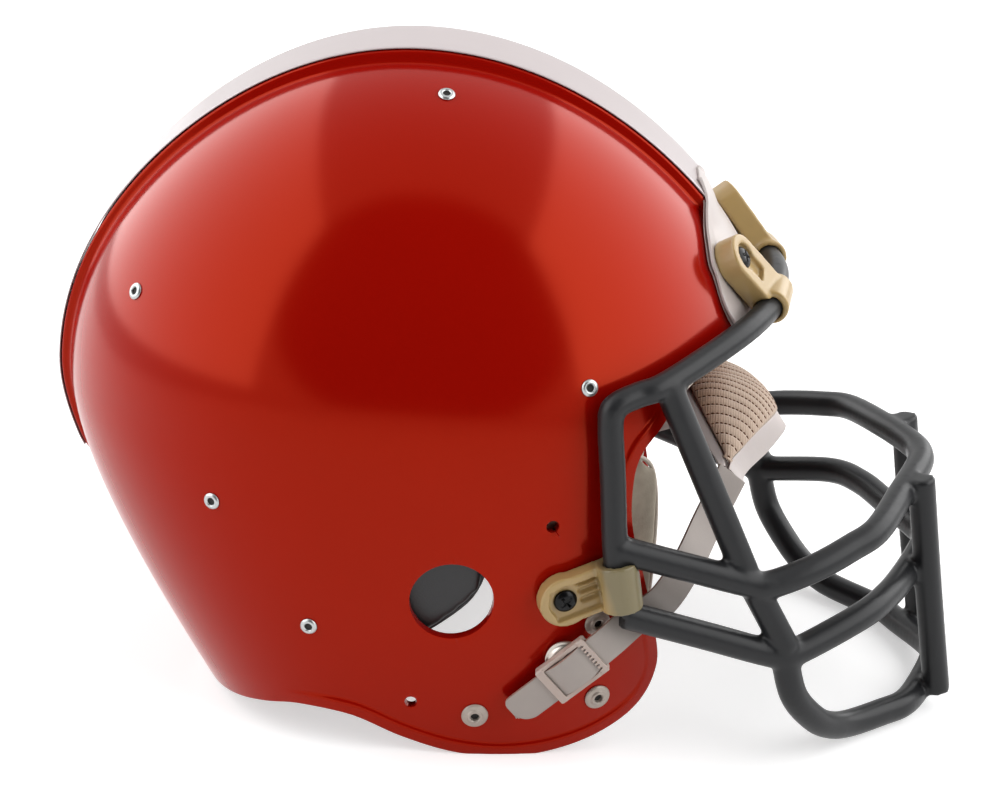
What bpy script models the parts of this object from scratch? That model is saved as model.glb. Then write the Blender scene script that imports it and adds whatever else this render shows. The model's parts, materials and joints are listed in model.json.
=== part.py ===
"""Football helmet: moulded shell, liner pads, wire face mask on loop clips, and a snap-on chin strap.

The model's own frame has +X forward, +Y to the wearer's left and +Z up.
Every place is measured from the middle of the dome, and the empty "helmet" stands the whole on the floor.
"""
import bpy
import bmesh
from math import atan2, cos, hypot, pi, radians, sin
from mathutils import Matrix, Vector

MM = 0.001

# Shell, sizes from the middle of the dome
DOME_FRONT = 149 * MM
DOME_REAR = 140.5 * MM
DOME_HALF_WIDTH = 115 * MM
DOME_TOP = 136.5 * MM
DOME_TO_FLOOR = 122 * MM
SHELL_WALL = 4 * MM
PLAN_SQUARENESS = 2.12
NAPE_SQUARENESS = 0.45
SHOULDER_FLAT_SHARE = 0.028
NAPE_TUCK_START = 115 * MM
NAPE_TUCK_RUN = 163 * MM
CHEEK_TUCK = 422 * MM
FACE_TUCK = 400 * MM
EAR_HOLE_RADIUS = 16.3 * MM
EAR_FORWARD = 25 * MM
EAR_DROP = 52.5 * MM
PLAIN_HOLE_RADIUS = 2.5 * MM
PLAIN_HOLE_SHARES = [(0.413, -0.149), (0.078, -0.725)]
SHELL_COLUMNS = 72
SHELL_ROWS = 16

# Rim of the shell from the brow round one side to the nape: share of a half turn, share of dome-to-floor
RIM_OUTLINE_SHARES = [
    (0.000, 0.318), (0.070, 0.318), (0.130, 0.312), (0.190, 0.258), (0.226, 0.137), (0.249, 0.050),
    (0.256, -0.065), (0.253, -0.202), (0.236, -0.388), (0.217, -0.583), (0.208, -0.720), (0.221, -0.843),
    (0.259, -0.935), (0.309, -0.990), (0.361, -1.008), (0.417, -0.990), (0.476, -0.940), (0.536, -0.872),
    (0.594, -0.863), (0.641, -0.892), (0.688, -0.922), (0.744, -0.947), (0.800, -0.965), (0.850, -0.977),
    (0.900, -0.985), (0.950, -0.989), (1.000, -0.990)]
# Meridians lean back before they turn down to the face edge: share of a half turn at each rim point
LEAN_SHARES = [
    0.000, 0.070, 0.130, 0.190, 0.232, 0.262, 0.282, 0.298, 0.315, 0.330, 0.345, 0.362,
    0.385, 0.410, 0.435, 0.470, 0.510, 0.555, 0.605, 0.648, 0.691, 0.746, 0.800, 0.850, 0.900, 0.950, 1.000]

# Ridge along the crown, and the stripe on it
RIDGE_WIDTH = 38 * MM
RIDGE_HEIGHT = 2.6 * MM
RIDGE_ROOT = 2.6 * MM
RIDGE_END_SHARE = 0.3
RIDGE_FADE_SHARE = 0.05
RIDGE_FRONT_ANGLE = 42
RIDGE_REAR_ANGLE = 196
RIDGE_ROWS = 20
STRIPE_WIDTH = 36 * MM
STRIPE_THICKNESS = 0.7 * MM

# Plate under the brow clips
PLATE_THICKNESS = 1.6 * MM
PLATE_LOW = 46 * MM
PLATE_HIGH = 88 * MM
PLATE_HALF_ANGLE = 21

# Face mask wire
WIRE_RADIUS = 5.6 * MM
BROW_WIRE_RADIUS = 5.0 * MM
WIRE_STANDOFF = 9.6 * MM
MASK_STANDOFF = 77 * MM
SIDE_WIRE_FORWARD = 86 * MM
MASK_TURN_HALF_WIDTH = 95 * MM
SIDE_WIRE_INSET = 8 * MM
MASK_HEIGHT = 175 * MM
WIRE_SETBACK = 3 * MM

# Brow wire: share of a half turn, share of the dome's height, share of the wire's standoff
BROW_WIRE_SHARES = [
    (0.236, 0.264, 1.00), (0.147, 0.336, 1.02), (0.089, 0.362, 1.12), (0.063, 0.377, 1.15), (0.000, 0.388, 1.15)]
# Other wires: share of the way from side wire to dome front and mask standoff, width as half_width reads it,
# and share of the mask's height above the floor
SIDE_WIRE_SHARES = [
    (0.039, 2.000, 0.389), (0.020, 2.000, 0.465), (0.000, 2.000, 0.541), (-0.022, 1.879, 0.700),
    (-0.042, 1.760, 0.835), (-0.028, 1.657, 0.868), (0.030, 1.238, 0.885)]
UPPER_BAR_SHARES = [
    (0.000, 2.000, 0.541), (0.207, 1.538, 0.494), (0.380, 1.174, 0.456), (0.440, 1.040, 0.451),
    (0.564, 0.926, 0.480), (0.671, 0.810, 0.509), (0.750, 0.690, 0.530), (0.836, 0.379, 0.554),
    (0.900, 0.126, 0.566), (0.914, 0.000, 0.568)]
LOWER_BAR_SHARES = [
    (0.039, 2.000, 0.384), (0.271, 1.499, 0.330), (0.470, 1.063, 0.283), (0.530, 0.980, 0.282),
    (0.720, 0.789, 0.333), (0.807, 0.611, 0.346), (0.875, 0.379, 0.347), (0.939, 0.126, 0.353),
    (0.960, 0.000, 0.354)]
JAW_BAR_SHARES = [
    (0.504, 0.998, 0.275), (0.544, 0.979, 0.176), (0.611, 0.905, 0.102), (0.671, 0.815, 0.060),
    (0.740, 0.705, 0.038), (0.846, 0.563, 0.034), (0.907, 0.480, 0.034), (0.954, 0.347, 0.034),
    (1.013, 0.126, 0.046), (1.031, 0.000, 0.051)]
UPRIGHT_SHARES = [(0.888, 0.358, 0.590), (0.943, 0.358, 0.349), (1.020, 0.347, -0.010)]
STRUT_SHARES = [(0.104, 0.968, 0.903), (0.369, 1.000, 0.476)]
SHORT_STRUT_SHARES = [(0.386, 1.000, 0.457), (0.507, 1.000, 0.297)]

# Loop clips, their screws and nuts
LOOP_WALL = 2.8 * MM
SIDE_CLIP_HEIGHT = 21 * MM
SIDE_LOOP_HEIGHT = 19.5 * MM
SIDE_CLIP_THICKNESS = 6.5 * MM
SIDE_CLIP_FORWARD = 67.2 * MM
SIDE_CLIP_DROP = 49.6 * MM
SIDE_LOOP_DROP = 42.5 * MM
BROW_CLIP_WIDTH = 19 * MM
BROW_CLIP_THICKNESS = 9.6 * MM
BROW_LOOP_WALL = 2 * MM
BROW_CLIP_SHARES = (0.087, 0.475)
SCREW_HEAD_RADIUS = 4.8 * MM
SCREW_HEAD_HEIGHT = 2.2 * MM
SCREW_FLAT_SHARE = 0.7
SCREW_SHANK_RADIUS = 2.1 * MM
SCREW_END = 1 * MM
NUT_RADIUS = 6 * MM
NUT_THICKNESS = 1.6 * MM

# Small fasteners of the shell
RIVET_HEAD_RADIUS = 3.4 * MM
RIVET_HEAD_HEIGHT = 0.9 * MM
RIVET_SHANK_RADIUS = 1.9 * MM
RIVET_DISH_SHARE = 0.6
STUD_RADIUS = 5.3 * MM
STUD_HEIGHT = 1.8 * MM
STUD_BEVEL = 0.6 * MM
STUD_BORE_RADIUS = 1.6 * MM
STUD_SHANK_RADIUS = 2.6 * MM
SNAP_FLANGE_RADIUS = 4.2 * MM
SNAP_FLANGE_HEIGHT = 1.2 * MM
SNAP_POST_RADIUS = 3 * MM
# Places on the side of the shell: share of the dome's front or rear length, share of its height
RIVET_PLACES_SHARES = {
    "crown": (0.057, 0.933), "rear": (-0.755, 0.347), "low": (-0.496, -0.163),
    "nape": (-0.211, -0.502), "temple": (0.479, 0.250)}
WASHER_PLACES_SHARES = {"rear": (0.248, -0.760), "front": (0.568, -0.714), "upper": (0.550, -0.463)}

# Chin strap, buckle and cup
SNAP_FORWARD = 71 * MM
SNAP_DROP = 77 * MM
SNAP_HEIGHT = 4.6 * MM
SOCKET_STANDOFF = 3 * MM
SOCKET_RADIUS = 6 * MM
SOCKET_HEIGHT = 2.4 * MM
SOCKET_FLOOR = 0.5 * MM
STRAP_WIDTH = 13 * MM
STRAP_THICKNESS = 1.6 * MM
STRAP_TAIL = 30 * MM
BUCKLE_OFFSET_FORWARD = 2.6 * MM
BUCKLE_OFFSET_DROP = 1.9 * MM
BUCKLE_LENGTH = 24 * MM
BUCKLE_WIDTH = 17.5 * MM
BUCKLE_THICKNESS = 4.2 * MM
BUCKLE_WINDOW = 14 * MM
BUCKLE_TILT = 44.2
CUP_HALF_LENGTH = 50 * MM
CUP_HALF_WIDTH = 22.5 * MM
CUP_OFFSET = 3.5 * MM
CUP_WALL = 1.8 * MM
CUP_FORWARD = 141 * MM
CUP_DROP = 1 * MM
CUP_ARCH = 13 * MM
CUP_SWEEP = 11 * MM
CUP_LEAN = 33.5
LINING_HALF_LENGTH = 47 * MM
LINING_HALF_WIDTH = 17.5 * MM
LINING_THICKNESS = 5 * MM
LINING_FULLNESS = 1.8
# Strap between cup and buckle: share of the cup's reach forward of the snap, width as half_width reads it,
# and share of the mask's height above the floor
STRAP_SHARES = [
    (0.757, 0.655, 0.514), (0.643, 0.845, 0.446), (0.514, 0.995, 0.391), (0.371, 1.360, 0.356),
    (0.243, 1.950, 0.319)]
STRAP_TURN_SHARE = 0.6

# Liner pads
SIDE_PAD_THICKNESS = 20 * MM
BROW_PAD_THICKNESS = 17 * MM
BACK_PAD_THICKNESS = 18 * MM
CROWN_PAD_THICKNESS = 22 * MM
JAW_PAD_THICKNESS = 17 * MM
PAD_EDGE_SHARE = 0.45
PAD_SLOPE_SHARE = 0.25
CROWN_PAD_SPREAD = 0.55
BROW_PAD_LOW = 36 * MM
BROW_PAD_DIP = 27 * MM
BROW_PAD_HEIGHT = 35 * MM
BACK_PAD_LOW = -20 * MM
BACK_PAD_HIGH = 38 * MM
NAPE_PAD_LOW = -100 * MM
NAPE_PAD_HIGH = -45 * MM
SIDE_PAD_LOW = -68 * MM
SIDE_PAD_HIGH = 35 * MM
SIDE_PAD_CORNER = 17 * MM
SIDE_PAD_CORNER_SHARE = 0.24
JAW_PAD_LOW = -95 * MM
JAW_PAD_HIGH = 3 * MM
PAD_POCKET_REACH = 16 * MM

# Clearances and small steps
FIT = 0.3 * MM
INNER_CLEARANCE = 1.3 * MM
OVERRUN = 12 * MM
PROBE = 0.5 * MM
WELD = 0.001 * MM


# Scene, materials and the frame
def clear_scene():
    for old in list(bpy.data.objects):
        bpy.data.objects.remove(old, do_unlink=True)


def collection(name):
    made = bpy.data.collections.new(name)
    bpy.context.scene.collection.children.link(made)
    return made


def empty(name, place, parent=None):
    thing = bpy.data.objects.new(name, None)
    thing.location = place
    thing.parent = parent
    PARTS.objects.link(thing)
    return thing


def material(name, colour, roughness, metallic=0.0):
    made = bpy.data.materials.new(name)
    made.use_nodes = True
    shader = made.node_tree.nodes["Principled BSDF"]
    shader.inputs["Base Color"].default_value = (*colour, 1.0)
    shader.inputs["Roughness"].default_value = roughness
    shader.inputs["Metallic"].default_value = metallic
    return made


clear_scene()
PARTS = collection("football_helmet")
CUTTERS = collection("cutters")
HELMET = empty("helmet", (0, 0, DOME_TO_FLOOR))
SWING = empty("strap_swing_axis", (SNAP_FORWARD, 0, -SNAP_DROP), HELMET)

SHELL_RED = material("shell_red", (0.52, 0.035, 0.012), 0.18)
VINYL_WHITE = material("vinyl_white", (0.66, 0.60, 0.58), 0.4)
WIRE_GREY = material("wire_grey", (0.045, 0.045, 0.047), 0.4)
CLIP_TAN = material("clip_tan", (0.56, 0.42, 0.22), 0.35)
SCREW_BLACK = material("screw_black", (0.01, 0.01, 0.01), 0.35)
NUT_STEEL = material("nut_steel", (0.55, 0.55, 0.55), 0.3, 1.0)
RIVET_GREY = material("rivet_grey", (0.42, 0.44, 0.45), 0.35, 0.8)
STUD_BEIGE = material("stud_beige", (0.42, 0.36, 0.30), 0.4, 0.3)
PAD_BLACK = material("pad_black", (0.012, 0.012, 0.012), 0.5)
PAD_BEIGE = material("pad_beige", (0.45, 0.38, 0.30), 0.6)
KNIT_BEIGE = material("knit_beige", (0.62, 0.47, 0.34), 0.9)
STRAP_WHITE = material("strap_white", (0.62, 0.57, 0.54), 0.5)


# The moulded form of the shell
def dome_field(point):
    """Zero on the outer face and below zero inside it."""
    half_length = DOME_FRONT if point.x > 0 else DOME_REAR
    half_width = DOME_HALF_WIDTH
    squareness = PLAN_SQUARENESS
    if point.z < 0:
        drop = -point.z
        if point.x > 0:
            half_length *= 1 - (drop / FACE_TUCK) ** 2
        else:
            half_length *= 1 - drop ** 2 / (NAPE_TUCK_START ** 2 + NAPE_TUCK_RUN * drop)
        half_width *= 1 - (drop / CHEEK_TUCK) ** 2
        squareness += NAPE_SQUARENESS * min(1, drop / DOME_TO_FLOOR)
    plan = abs(point.x / half_length) ** squareness + abs(point.y / half_width) ** squareness
    plan = plan ** (1 / squareness)
    if point.z < 0:
        return plan - 1
    rise = point.z / DOME_TOP
    flat = SHOULDER_FLAT_SHARE * sin(2 * atan2(rise, plan)) ** 2
    return hypot(plan, rise) / (1 - flat) - 1


def reach(start, direction):
    """The point where a line from inside the shell leaves its outer face."""
    near = 0.0
    far = DOME_FRONT + DOME_REAR
    for _ in range(40):
        middle = (near + far) / 2
        if dome_field(start + direction * middle) < 0:
            near = middle
        else:
            far = middle
    return start + direction * near


def dome_normal(point):
    steps = [Vector((PROBE, 0, 0)), Vector((0, PROBE, 0)), Vector((0, 0, PROBE))]
    slope = [dome_field(point + step) - dome_field(point - step) for step in steps]
    return Vector(slope).normalized()


def heading(azimuth, elevation=0):
    return Vector((cos(azimuth) * cos(elevation), sin(azimuth) * cos(elevation), sin(elevation)))


def on_dome(azimuth, height):
    """The outer face at an azimuth, 0 ahead and positive to the left, and a height."""
    return reach(Vector((0, 0, height)), heading(azimuth))


def on_side(forward, height, hand):
    return reach(Vector((forward, 0, height)), Vector((0, hand, 0)))


def raised(point, distance):
    return point + dome_normal(point) * distance


def through(before, start, end, after, share):
    """A smooth curve through start and end, which leans on the points beside them."""
    return (start * 2 + (end - before) * share
            + (before * 2 - start * 5 + end * 4 - after) * share ** 2
            + (start * 3 - before - end * 3 + after) * share ** 3) / 2


def smooth_line(points, parts):
    """The given points with more between them on a smooth curve."""
    padded = [points[0] * 2 - points[1], *points, points[-1] * 2 - points[-2]]
    line = []
    for before, start, end, after in zip(padded, padded[1:], padded[2:], padded[3:]):
        for step in range(parts):
            line.append(through(before, start, end, after, step / parts))
    return line + [points[-1]]


def side_of(point, hand):
    """A place given for the left side, on the left (1) or the right (-1)."""
    return Vector((point.x, point.y * hand, point.z))


# Meshes
def add_object(name, mesh, finish=None, parent=HELMET):
    thing = bpy.data.objects.new(name, mesh)
    if finish:
        mesh.materials.append(finish)
        mesh.shade_smooth()
        thing.parent = parent
        PARTS.objects.link(thing)
    else:
        thing.parent = HELMET
        CUTTERS.objects.link(thing)
        thing.hide_render = True
        thing.display_type = 'WIRE'
    return thing


def sheet(name, columns, rows, place, finish=None, parent=HELMET, outward=None):
    """A grid laid by a formula of two shares, its face turned away from the dome's middle."""
    form = bmesh.new()
    bmesh.ops.create_grid(form, x_segments=columns, y_segments=rows, size=1)
    for vert in form.verts:
        vert.co = place((vert.co.x + 1) / 2, (vert.co.y + 1) / 2)
    bmesh.ops.remove_doubles(form, verts=form.verts, dist=WELD)
    bmesh.ops.recalc_face_normals(form, faces=form.faces)
    facing = sum(face.normal.dot(outward or face.calc_center_median()) for face in form.faces)
    if facing < 0:
        bmesh.ops.reverse_faces(form, faces=form.faces)
    mesh = bpy.data.meshes.new(name)
    form.to_mesh(mesh)
    form.free()
    return add_object(name, mesh, finish, parent)


def thicken(thing, thickness, offset=-1.0, shares=None):
    """Gives a sheet its thickness, inward unless said, at a share of it set for each point."""
    solid = thing.modifiers.new("thickness", 'SOLIDIFY')
    solid.thickness = thickness
    solid.offset = offset
    if shares:
        group = thing.vertex_groups.new(name="thickness")
        for vert in thing.data.vertices:
            group.add([vert.index], shares(vert.co), 'REPLACE')
        solid.vertex_group = group.name


def boolean(thing, other, operation='DIFFERENCE'):
    change = thing.modifiers.new(other.name, 'BOOLEAN')
    change.operation = operation
    change.solver = 'EXACT'
    change.object = other


def frame(place, outward, forward):
    """A place with z outward and x as near forward as it can be."""
    up = outward.normalized()
    ahead = (forward - up * forward.dot(up)).normalized()
    turn = Matrix((ahead, up.cross(ahead), up)).transposed().to_4x4()
    return Matrix.Translation(place) @ turn


def turned(name, profile, where, finish=None, parent=HELMET, steps=14, ring=False):
    """A turned piece on a frame's z axis. Its profile runs down its outer side, from the top."""
    form = bmesh.new()
    verts = [form.verts.new((radius, 0, height)) for radius, height in profile]
    for first, second in zip(verts, verts[1:]):
        form.edges.new((first, second))
    if ring:
        form.edges.new((verts[-1], verts[0]))
    mesh = bpy.data.meshes.new(name)
    form.to_mesh(mesh)
    form.free()
    thing = add_object(name, mesh, finish, parent)
    thing.matrix_basis = where
    spin = thing.modifiers.new("turn", 'SCREW')
    spin.steps = steps
    spin.render_steps = steps
    spin.use_merge_vertices = True
    spin.merge_threshold = WELD
    return thing


def rod(name, radius, top, bottom, where, finish=None, steps=12):
    return turned(name, [(0, top), (radius, top), (radius, bottom), (0, bottom)], where, finish, steps=steps)


def box(name, low, high, where, finish=None, parent=HELMET):
    form = bmesh.new()
    bmesh.ops.create_cube(form, size=1)
    for vert in form.verts:
        vert.co = [a + (b - a) * (value + 1 / 2) for a, b, value in zip(low, high, vert.co)]
    mesh = bpy.data.meshes.new(name)
    form.to_mesh(mesh)
    form.free()
    thing = add_object(name, mesh, finish, parent)
    thing.matrix_basis = where
    return thing


def wire(name, path, radius, finish=None):
    """A round wire with closed ends along a path."""
    curve = bpy.data.curves.new(name, 'CURVE')
    curve.dimensions = '3D'
    curve.bevel_depth = radius
    curve.bevel_resolution = 2
    curve.use_fill_caps = True
    line = curve.splines.new('POLY')
    line.points.add(len(path) - 1)
    for knot, point in zip(line.points, path):
        knot.co = (*point, 1)
    guide = bpy.data.objects.new(name + "_guide", curve)
    CUTTERS.objects.link(guide)
    mesh = bpy.data.meshes.new_from_object(guide.evaluated_get(bpy.context.evaluated_depsgraph_get()))
    bpy.data.objects.remove(guide, do_unlink=True)
    form = bmesh.new()
    form.from_mesh(mesh)
    bmesh.ops.remove_doubles(form, verts=form.verts, dist=WELD)
    form.to_mesh(mesh)
    form.free()
    return add_object(name, mesh, finish)


# Face mask
def half_width(share):
    """Up to the mask's turn for shares up to 1, and on from there to the side wire up to 2."""
    side = DOME_HALF_WIDTH - SIDE_WIRE_INSET
    return MASK_TURN_HALF_WIDTH * min(share, 1) + (side - MASK_TURN_HALF_WIDTH) * max(share - 1, 0)


def bar_point(shares, hand=1):
    forward, width, height = shares
    ahead = SIDE_WIRE_FORWARD + (DOME_FRONT + MASK_STANDOFF - SIDE_WIRE_FORWARD) * forward
    return Vector((ahead, half_width(width) * hand, MASK_HEIGHT * height - DOME_TO_FLOOR))


def brow_point(shares):
    azimuth, height, standoff = shares
    return on_dome(azimuth * pi, height * DOME_TOP) + heading(azimuth * pi) * WIRE_STANDOFF * standoff


def both_sides(half):
    """A whole path from its left half, which ends on the middle plane."""
    return half + [side_of(point, -1) for point in reversed(half[:-1])]


def set_back(path, distance):
    """A path without the start and end that lie inside the wires it meets."""
    first = path[0] + (path[1] - path[0]).normalized() * distance
    last = path[-1] + (path[-2] - path[-1]).normalized() * distance
    return [first, *path[1:-1], last]


def mask_paths():
    brow = [bar_point(row) for row in SIDE_WIRE_SHARES] + [brow_point(row) for row in BROW_WIRE_SHARES]
    paths = {"brow_and_side_wire": (smooth_line(both_sides(brow), 2), BROW_WIRE_RADIUS)}
    for name, table in (("upper_bar", UPPER_BAR_SHARES), ("lower_bar", LOWER_BAR_SHARES),
                        ("jaw_bar", JAW_BAR_SHARES)):
        half = [bar_point(row) for row in table]
        paths[name] = (set_back(smooth_line(both_sides(half), 2), WIRE_SETBACK), WIRE_RADIUS)
    for side, hand in (("left", 1), ("right", -1)):
        for name, table in (("upright", UPRIGHT_SHARES), ("strut", STRUT_SHARES),
                            ("short_strut", SHORT_STRUT_SHARES)):
            paths[f"mask_{name}_{side}"] = ([bar_point(row, hand) for row in table], WIRE_RADIUS)
    return paths


def make_mask():
    """Each wire is cut clear of the ones it is welded to, in the order they are laid."""
    paths = mask_paths()
    laid = {}
    clearances = {}
    meets = {
        "upper_bar": ["brow_and_side_wire"], "jaw_bar": ["lower_bar"], "brow_and_side_wire": ["lower_bar"]}
    for side in ("left", "right"):
        meets[f"mask_strut_{side}"] = ["brow_and_side_wire", "upper_bar"]
        meets[f"mask_short_strut_{side}"] = ["upper_bar", "lower_bar"]
        meets[f"mask_upright_{side}"] = ["upper_bar", "lower_bar", "jaw_bar"]
    for name, (path, radius) in paths.items():
        laid[name] = wire(name, path, radius, WIRE_GREY)
    for name in ("brow_and_side_wire", "upper_bar", "lower_bar", "jaw_bar"):
        path, radius = paths[name]
        clearances[name] = wire(name + "_clearance", path, radius + FIT)
    for name, others in meets.items():
        for other in others:
            boolean(laid[name], clearances[other])
    for side in ("left", "right"):
        boolean(laid[f"mask_upright_{side}"], FLOOR_CUTTER)
    return clearances


# Shell, ridge, stripe and plate
def rim_at(share):
    """Azimuth and height of the rim, and the azimuth its meridian leans to, from brow (0) to nape (1)."""
    last = len(RIM_OUTLINE_SHARES) - 1
    first = min(int(share * last), last - 1)
    rows = [Vector((*RIM_OUTLINE_SHARES[index], LEAN_SHARES[index]))
            for index in (max(first - 1, 0), first, first + 1, min(first + 2, last))]
    azimuth, height, lean = through(*rows, share * last - first)
    return azimuth * pi, height * DOME_TO_FLOOR, lean * pi


def elevation_of(direction):
    return atan2(direction.z, hypot(direction.x, direction.y))


def shell_place(around, down):
    """A point of the outer face: around the rim from the nape, and from the crown down to the rim."""
    turn = around * 2 - 1
    hand = 1 if turn > 0 else -1
    azimuth, height, lean = rim_at(1 - abs(turn))
    foot = on_dome(azimuth * hand, height).normalized()
    waist = heading(lean * hand, (pi / 2 + elevation_of(foot)) / 2)
    crown = Vector((0, 0, 1))
    aim = crown * (1 - down) ** 2 + waist * 2 * down * (1 - down) + foot * down ** 2
    return reach(Vector((0, 0, 0)), aim.normalized())


def ridge_place(width, lift):
    """A band of the given width along the crown, flat across, which fades at both ends."""
    def place(across, along):
        angle = radians(RIDGE_FRONT_ANGLE + (RIDGE_REAR_ANGLE - RIDGE_FRONT_ANGLE) * along)
        spine = reach(Vector((0, 0, 0)), heading(0, angle))
        point = raised(spine, RIDGE_HEIGHT * ridge_fade(along) + lift)
        return point + Vector((0, width * (across - 1 / 2), 0))
    return place


def ridge_fade(along):
    rise = min(1, min(along, 1 - along) / RIDGE_FADE_SHARE)
    return RIDGE_END_SHARE + (1 - RIDGE_END_SHARE) * rise


def make_shell():
    shell = sheet("shell", SHELL_COLUMNS, SHELL_ROWS, shell_place, SHELL_RED)
    thicken(shell, SHELL_WALL)
    band = sheet("ridge_form", 2, RIDGE_ROWS, ridge_place(RIDGE_WIDTH, 0))
    thicken(band, RIDGE_HEIGHT + RIDGE_ROOT)
    boolean(shell, band, 'UNION')
    boolean(shell, FLOOR_CUTTER)
    half = DOME_HALF_WIDTH + OVERRUN
    across = frame(Vector((EAR_FORWARD, 0, -EAR_DROP)), Vector((0, 1, 0)), Vector((1, 0, 0)))
    boolean(shell, rod("ear_hole_cutter", EAR_HOLE_RADIUS, half, -half, across, steps=24))
    for index, (forward, height) in enumerate(PLAIN_HOLE_SHARES):
        middle = Vector((DOME_FRONT * forward, 0, DOME_TOP * height))
        where = frame(middle, Vector((0, 1, 0)), Vector((1, 0, 0)))
        boolean(shell, rod(f"plain_hole_cutter_{index + 1}", PLAIN_HOLE_RADIUS, half, -half, where, steps=10))
    return shell


def make_stripe():
    stripe = sheet("centre_stripe", 2, RIDGE_ROWS, ridge_place(STRIPE_WIDTH, FIT + STRIPE_THICKNESS), VINYL_WHITE)
    thicken(stripe, STRIPE_THICKNESS)


def make_plate():
    spread = radians(PLATE_HALF_ANGLE)

    def place(across, up):
        point = on_dome(spread * (across * 2 - 1), PLATE_LOW + (PLATE_HIGH - PLATE_LOW) * up)
        return raised(point, FIT + PLATE_THICKNESS)

    plate = sheet("front_plate", 10, 4, place, VINYL_WHITE)
    thicken(plate, PLATE_THICKNESS)
    return plate


# Fasteners
def bolt_hole(name, radius, where):
    return rod(name, radius + FIT, OVERRUN, -OVERRUN, where, steps=8)


def rivet(name, place):
    """A hollow rivet: a dished head outside, a shank through the wall and a clinched tail inside."""
    inner = -(SHELL_WALL + INNER_CLEARANCE)
    top = FIT + RIVET_HEAD_HEIGHT
    rim = (RIVET_SHANK_RADIUS + RIVET_HEAD_RADIUS) / 2
    profile = [
        (0, FIT), (RIVET_SHANK_RADIUS * RIVET_DISH_SHARE, FIT), (RIVET_SHANK_RADIUS, top), (rim, top),
        (RIVET_HEAD_RADIUS, (FIT + top) / 2), (RIVET_HEAD_RADIUS, FIT), (RIVET_SHANK_RADIUS, FIT),
        (RIVET_SHANK_RADIUS, inner), (RIVET_HEAD_RADIUS, inner),
        (RIVET_HEAD_RADIUS, inner - RIVET_HEAD_HEIGHT), (0, inner - RIVET_HEAD_HEIGHT)]
    where = frame(place, dome_normal(place), Vector((0, 0, 1)))
    turned(name, profile, where, RIVET_GREY, steps=8)
    boolean(SHELL, bolt_hole(name + "_hole", RIVET_SHANK_RADIUS, where))
    return tail_pocket(name, RIVET_HEAD_RADIUS, RIVET_HEAD_HEIGHT, where)


def tail_pocket(name, radius, thickness, where):
    """Room in the padding for a fastener's inner end."""
    end = -(SHELL_WALL + INNER_CLEARANCE + thickness + FIT)
    return rod(name + "_pocket", radius + FIT, 0, end, where, steps=12)


def washer(name, place):
    """A flat collar outside, a shank through the wall and a flange inside."""
    inner = -(SHELL_WALL + INNER_CLEARANCE)
    top = FIT + STUD_HEIGHT
    edge = STUD_RADIUS - STUD_BEVEL
    profile = [
        (0, FIT), (STUD_BORE_RADIUS, FIT), (STUD_BORE_RADIUS, top), (edge, top), (STUD_RADIUS, (FIT + top) / 2),
        (STUD_RADIUS, FIT), (STUD_SHANK_RADIUS, FIT), (STUD_SHANK_RADIUS, inner), (STUD_RADIUS, inner),
        (STUD_RADIUS, inner - RIVET_HEAD_HEIGHT), (0, inner - RIVET_HEAD_HEIGHT)]
    where = frame(place, dome_normal(place), Vector((0, 0, 1)))
    turned(name, profile, where, STUD_BEIGE, steps=12)
    boolean(SHELL, bolt_hole(name + "_hole", STUD_SHANK_RADIUS, where))
    return tail_pocket(name, STUD_RADIUS, RIVET_HEAD_HEIGHT, where)


def snap_stud(name, place, hand):
    """A flange on the shell with the post that the strap's socket snaps over, on the swing axis."""
    inner = -(SHELL_WALL + INNER_CLEARANCE)
    top = FIT + SNAP_FLANGE_HEIGHT
    profile = [
        (0, top), (SNAP_FLANGE_RADIUS, top), (SNAP_FLANGE_RADIUS, FIT), (STUD_SHANK_RADIUS, FIT),
        (STUD_SHANK_RADIUS, inner), (STUD_RADIUS, inner),
        (STUD_RADIUS, inner - RIVET_HEAD_HEIGHT), (0, inner - RIVET_HEAD_HEIGHT)]
    where = frame(place, dome_normal(place), Vector((0, 0, 1)))
    stud = turned(name, profile, where, STUD_BEIGE, steps=14)
    upright = frame(place, Vector((0, hand, 0)), Vector((0, 0, 1)))
    post = rod(name + "_post", SNAP_POST_RADIUS, SNAP_HEIGHT, top, upright, steps=12)
    boolean(stud, post, 'UNION')
    boolean(SHELL, bolt_hole(name + "_hole", STUD_SHANK_RADIUS, where))
    return tail_pocket(name, STUD_RADIUS, RIVET_HEAD_HEIGHT, where)


def screw_and_nut(side, where, top, holed):
    """A clip screw with its nut inside the shell."""
    inner = -(SHELL_WALL + INNER_CLEARANCE)
    under = top + FIT
    crest = under + SCREW_HEAD_HEIGHT
    end = inner - NUT_THICKNESS - SCREW_END
    profile = [
        (0, crest), (SCREW_HEAD_RADIUS * SCREW_FLAT_SHARE, crest), (SCREW_HEAD_RADIUS, (under + crest) / 2),
        (SCREW_HEAD_RADIUS, under), (SCREW_SHANK_RADIUS, under), (SCREW_SHANK_RADIUS, end), (0, end)]
    turned(side + "_screw", profile, where, SCREW_BLACK, steps=12)
    bore = SCREW_SHANK_RADIUS + FIT
    ring = [(bore, inner), (NUT_RADIUS, inner), (NUT_RADIUS, inner - NUT_THICKNESS), (bore, inner - NUT_THICKNESS)]
    turned(side + "_nut", ring, where, NUT_STEEL, steps=12, ring=True)
    hole = rod(side + "_screw_hole", bore, under + OVERRUN, -OVERRUN, where, steps=8)
    for thing in holed:
        boolean(thing, hole)
    return rod(side + "_pocket", NUT_RADIUS + FIT, 0, end - FIT, where)


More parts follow.
